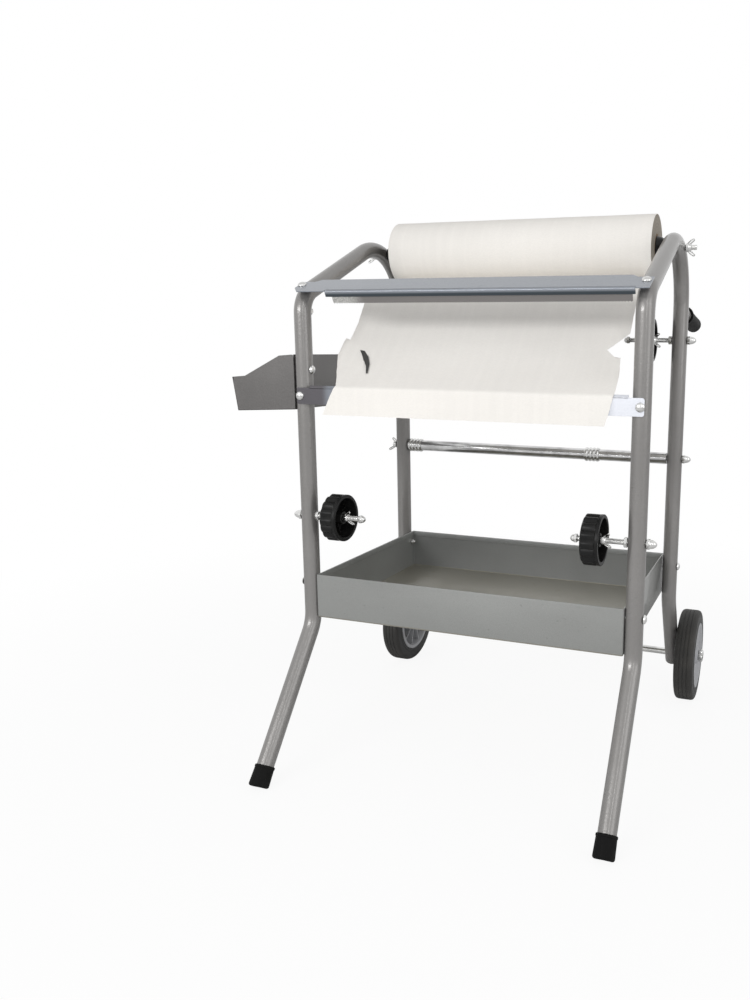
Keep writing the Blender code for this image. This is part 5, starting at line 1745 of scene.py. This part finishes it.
class DISPENSER_OT_bars(Operator):
    """Build the cutter bar and the lower bar, and finish the blade."""

    bl_idname = "dispenser.bars"
    bl_label = "Bars and blade"

    def execute(self, context):
        build_cutter_bar()
        build_lower_bar()
        refinish("cutter_blade", "blade")
        return {"FINISHED"}


class DISPENSER_OT_paper(Operator):
    """Build the roll, its cones and the hanging paper."""

    bl_idname = "dispenser.paper"
    bl_label = "Paper"

    def execute(self, context):
        build_roll()
        build_web(context.scene.dispenser_sizes)
        return {"FINISHED"}


class DISPENSER_OT_roller(Operator):
    """Build the roller bar, its collars, and the bolts and spindle that carry bar and roll."""

    bl_idname = "dispenser.roller"
    bl_label = "Roller bar"

    def execute(self, context):
        build_roller_bar()
        build_end_bolts()
        return {"FINISHED"}


class DISPENSER_OT_hubs(Operator):
    """Build the three tape hubs."""

    bl_idname = "dispenser.hubs"
    bl_label = "Tape hubs"

    def execute(self, context):
        for name, side in (("left", -1), ("right", 1), ("upper", 1)):
            build_hub(name, side, context.scene.dispenser_sizes)
        return {"FINISHED"}


class DISPENSER_OT_bolts(Operator):
    """Build the bolts of the trays and bars."""

    bl_idname = "dispenser.bolts"
    bl_label = "Bolts"

    def execute(self, context):
        build_bolts()
        return {"FINISHED"}


class DISPENSER_OT_studio(Operator):
    """Build the floor, the light and the camera."""

    bl_idname = "dispenser.studio"
    bl_label = "Studio"

    def execute(self, context):
        studio = context.scene.dispenser_studio
        build_floor()
        build_sky(studio)
        add_lamp("key_lamp", studio.key_power, KEY_SIZE, KEY_PLACE)
        add_lamp("fill_lamp", studio.fill_power, FILL_SIZE, FILL_PLACE)
        add_lamp("strip_lamp", studio.strip_power, STRIP_SIZE, STRIP_PLACE)
        build_camera(studio)
        context.scene.view_settings.view_transform = "Standard"
        return {"FINISHED"}


STEPS = (
    DISPENSER_OT_frames, DISPENSER_OT_feet, DISPENSER_OT_handles, DISPENSER_OT_wheels, DISPENSER_OT_trays,
    DISPENSER_OT_bars, DISPENSER_OT_paper, DISPENSER_OT_roller, DISPENSER_OT_hubs, DISPENSER_OT_bolts,
    DISPENSER_OT_studio,
)


class DISPENSER_PT_steps(Panel):
    """Lists the settings and the steps that dress the dispenser."""

    bl_idname = "DISPENSER_PT_steps"
    bl_label = "Masking paper dispenser"
    bl_space_type = "VIEW_3D"
    bl_region_type = "UI"
    bl_category = "Dispenser"

    def draw(self, context):
        scene = context.scene
        for group in (scene.dispenser_sizes, scene.dispenser_colours, scene.dispenser_studio):
            column = self.layout.column(align=True)
            for name in group.__annotations__:
                column.prop(group, name)
        for step in STEPS:
            self.layout.operator(step.bl_idname)


CLASSES = (DispenserSizes, DispenserColours, DispenserStudio, *STEPS, DISPENSER_PT_steps)


def register():
    for listed in CLASSES:
        bpy.utils.register_class(listed)
    bpy.types.Scene.dispenser_sizes = PointerProperty(type=DispenserSizes)
    bpy.types.Scene.dispenser_colours = PointerProperty(type=DispenserColours)
    bpy.types.Scene.dispenser_studio = PointerProperty(type=DispenserStudio)


def unregister():
    del bpy.types.Scene.dispenser_sizes
    del bpy.types.Scene.dispenser_colours
    del bpy.types.Scene.dispenser_studio
    for listed in reversed(CLASSES):
        bpy.utils.unregister_class(listed)


def main():
    """Dress the dispenser step by step."""
    register()
    FINISHES.update(make_finishes(bpy.context.scene.dispenser_colours))
    for step in STEPS:
        group, name = step.bl_idname.split(".")
        getattr(getattr(bpy.ops, group), name)()


if __name__ == "__main__":
    main()
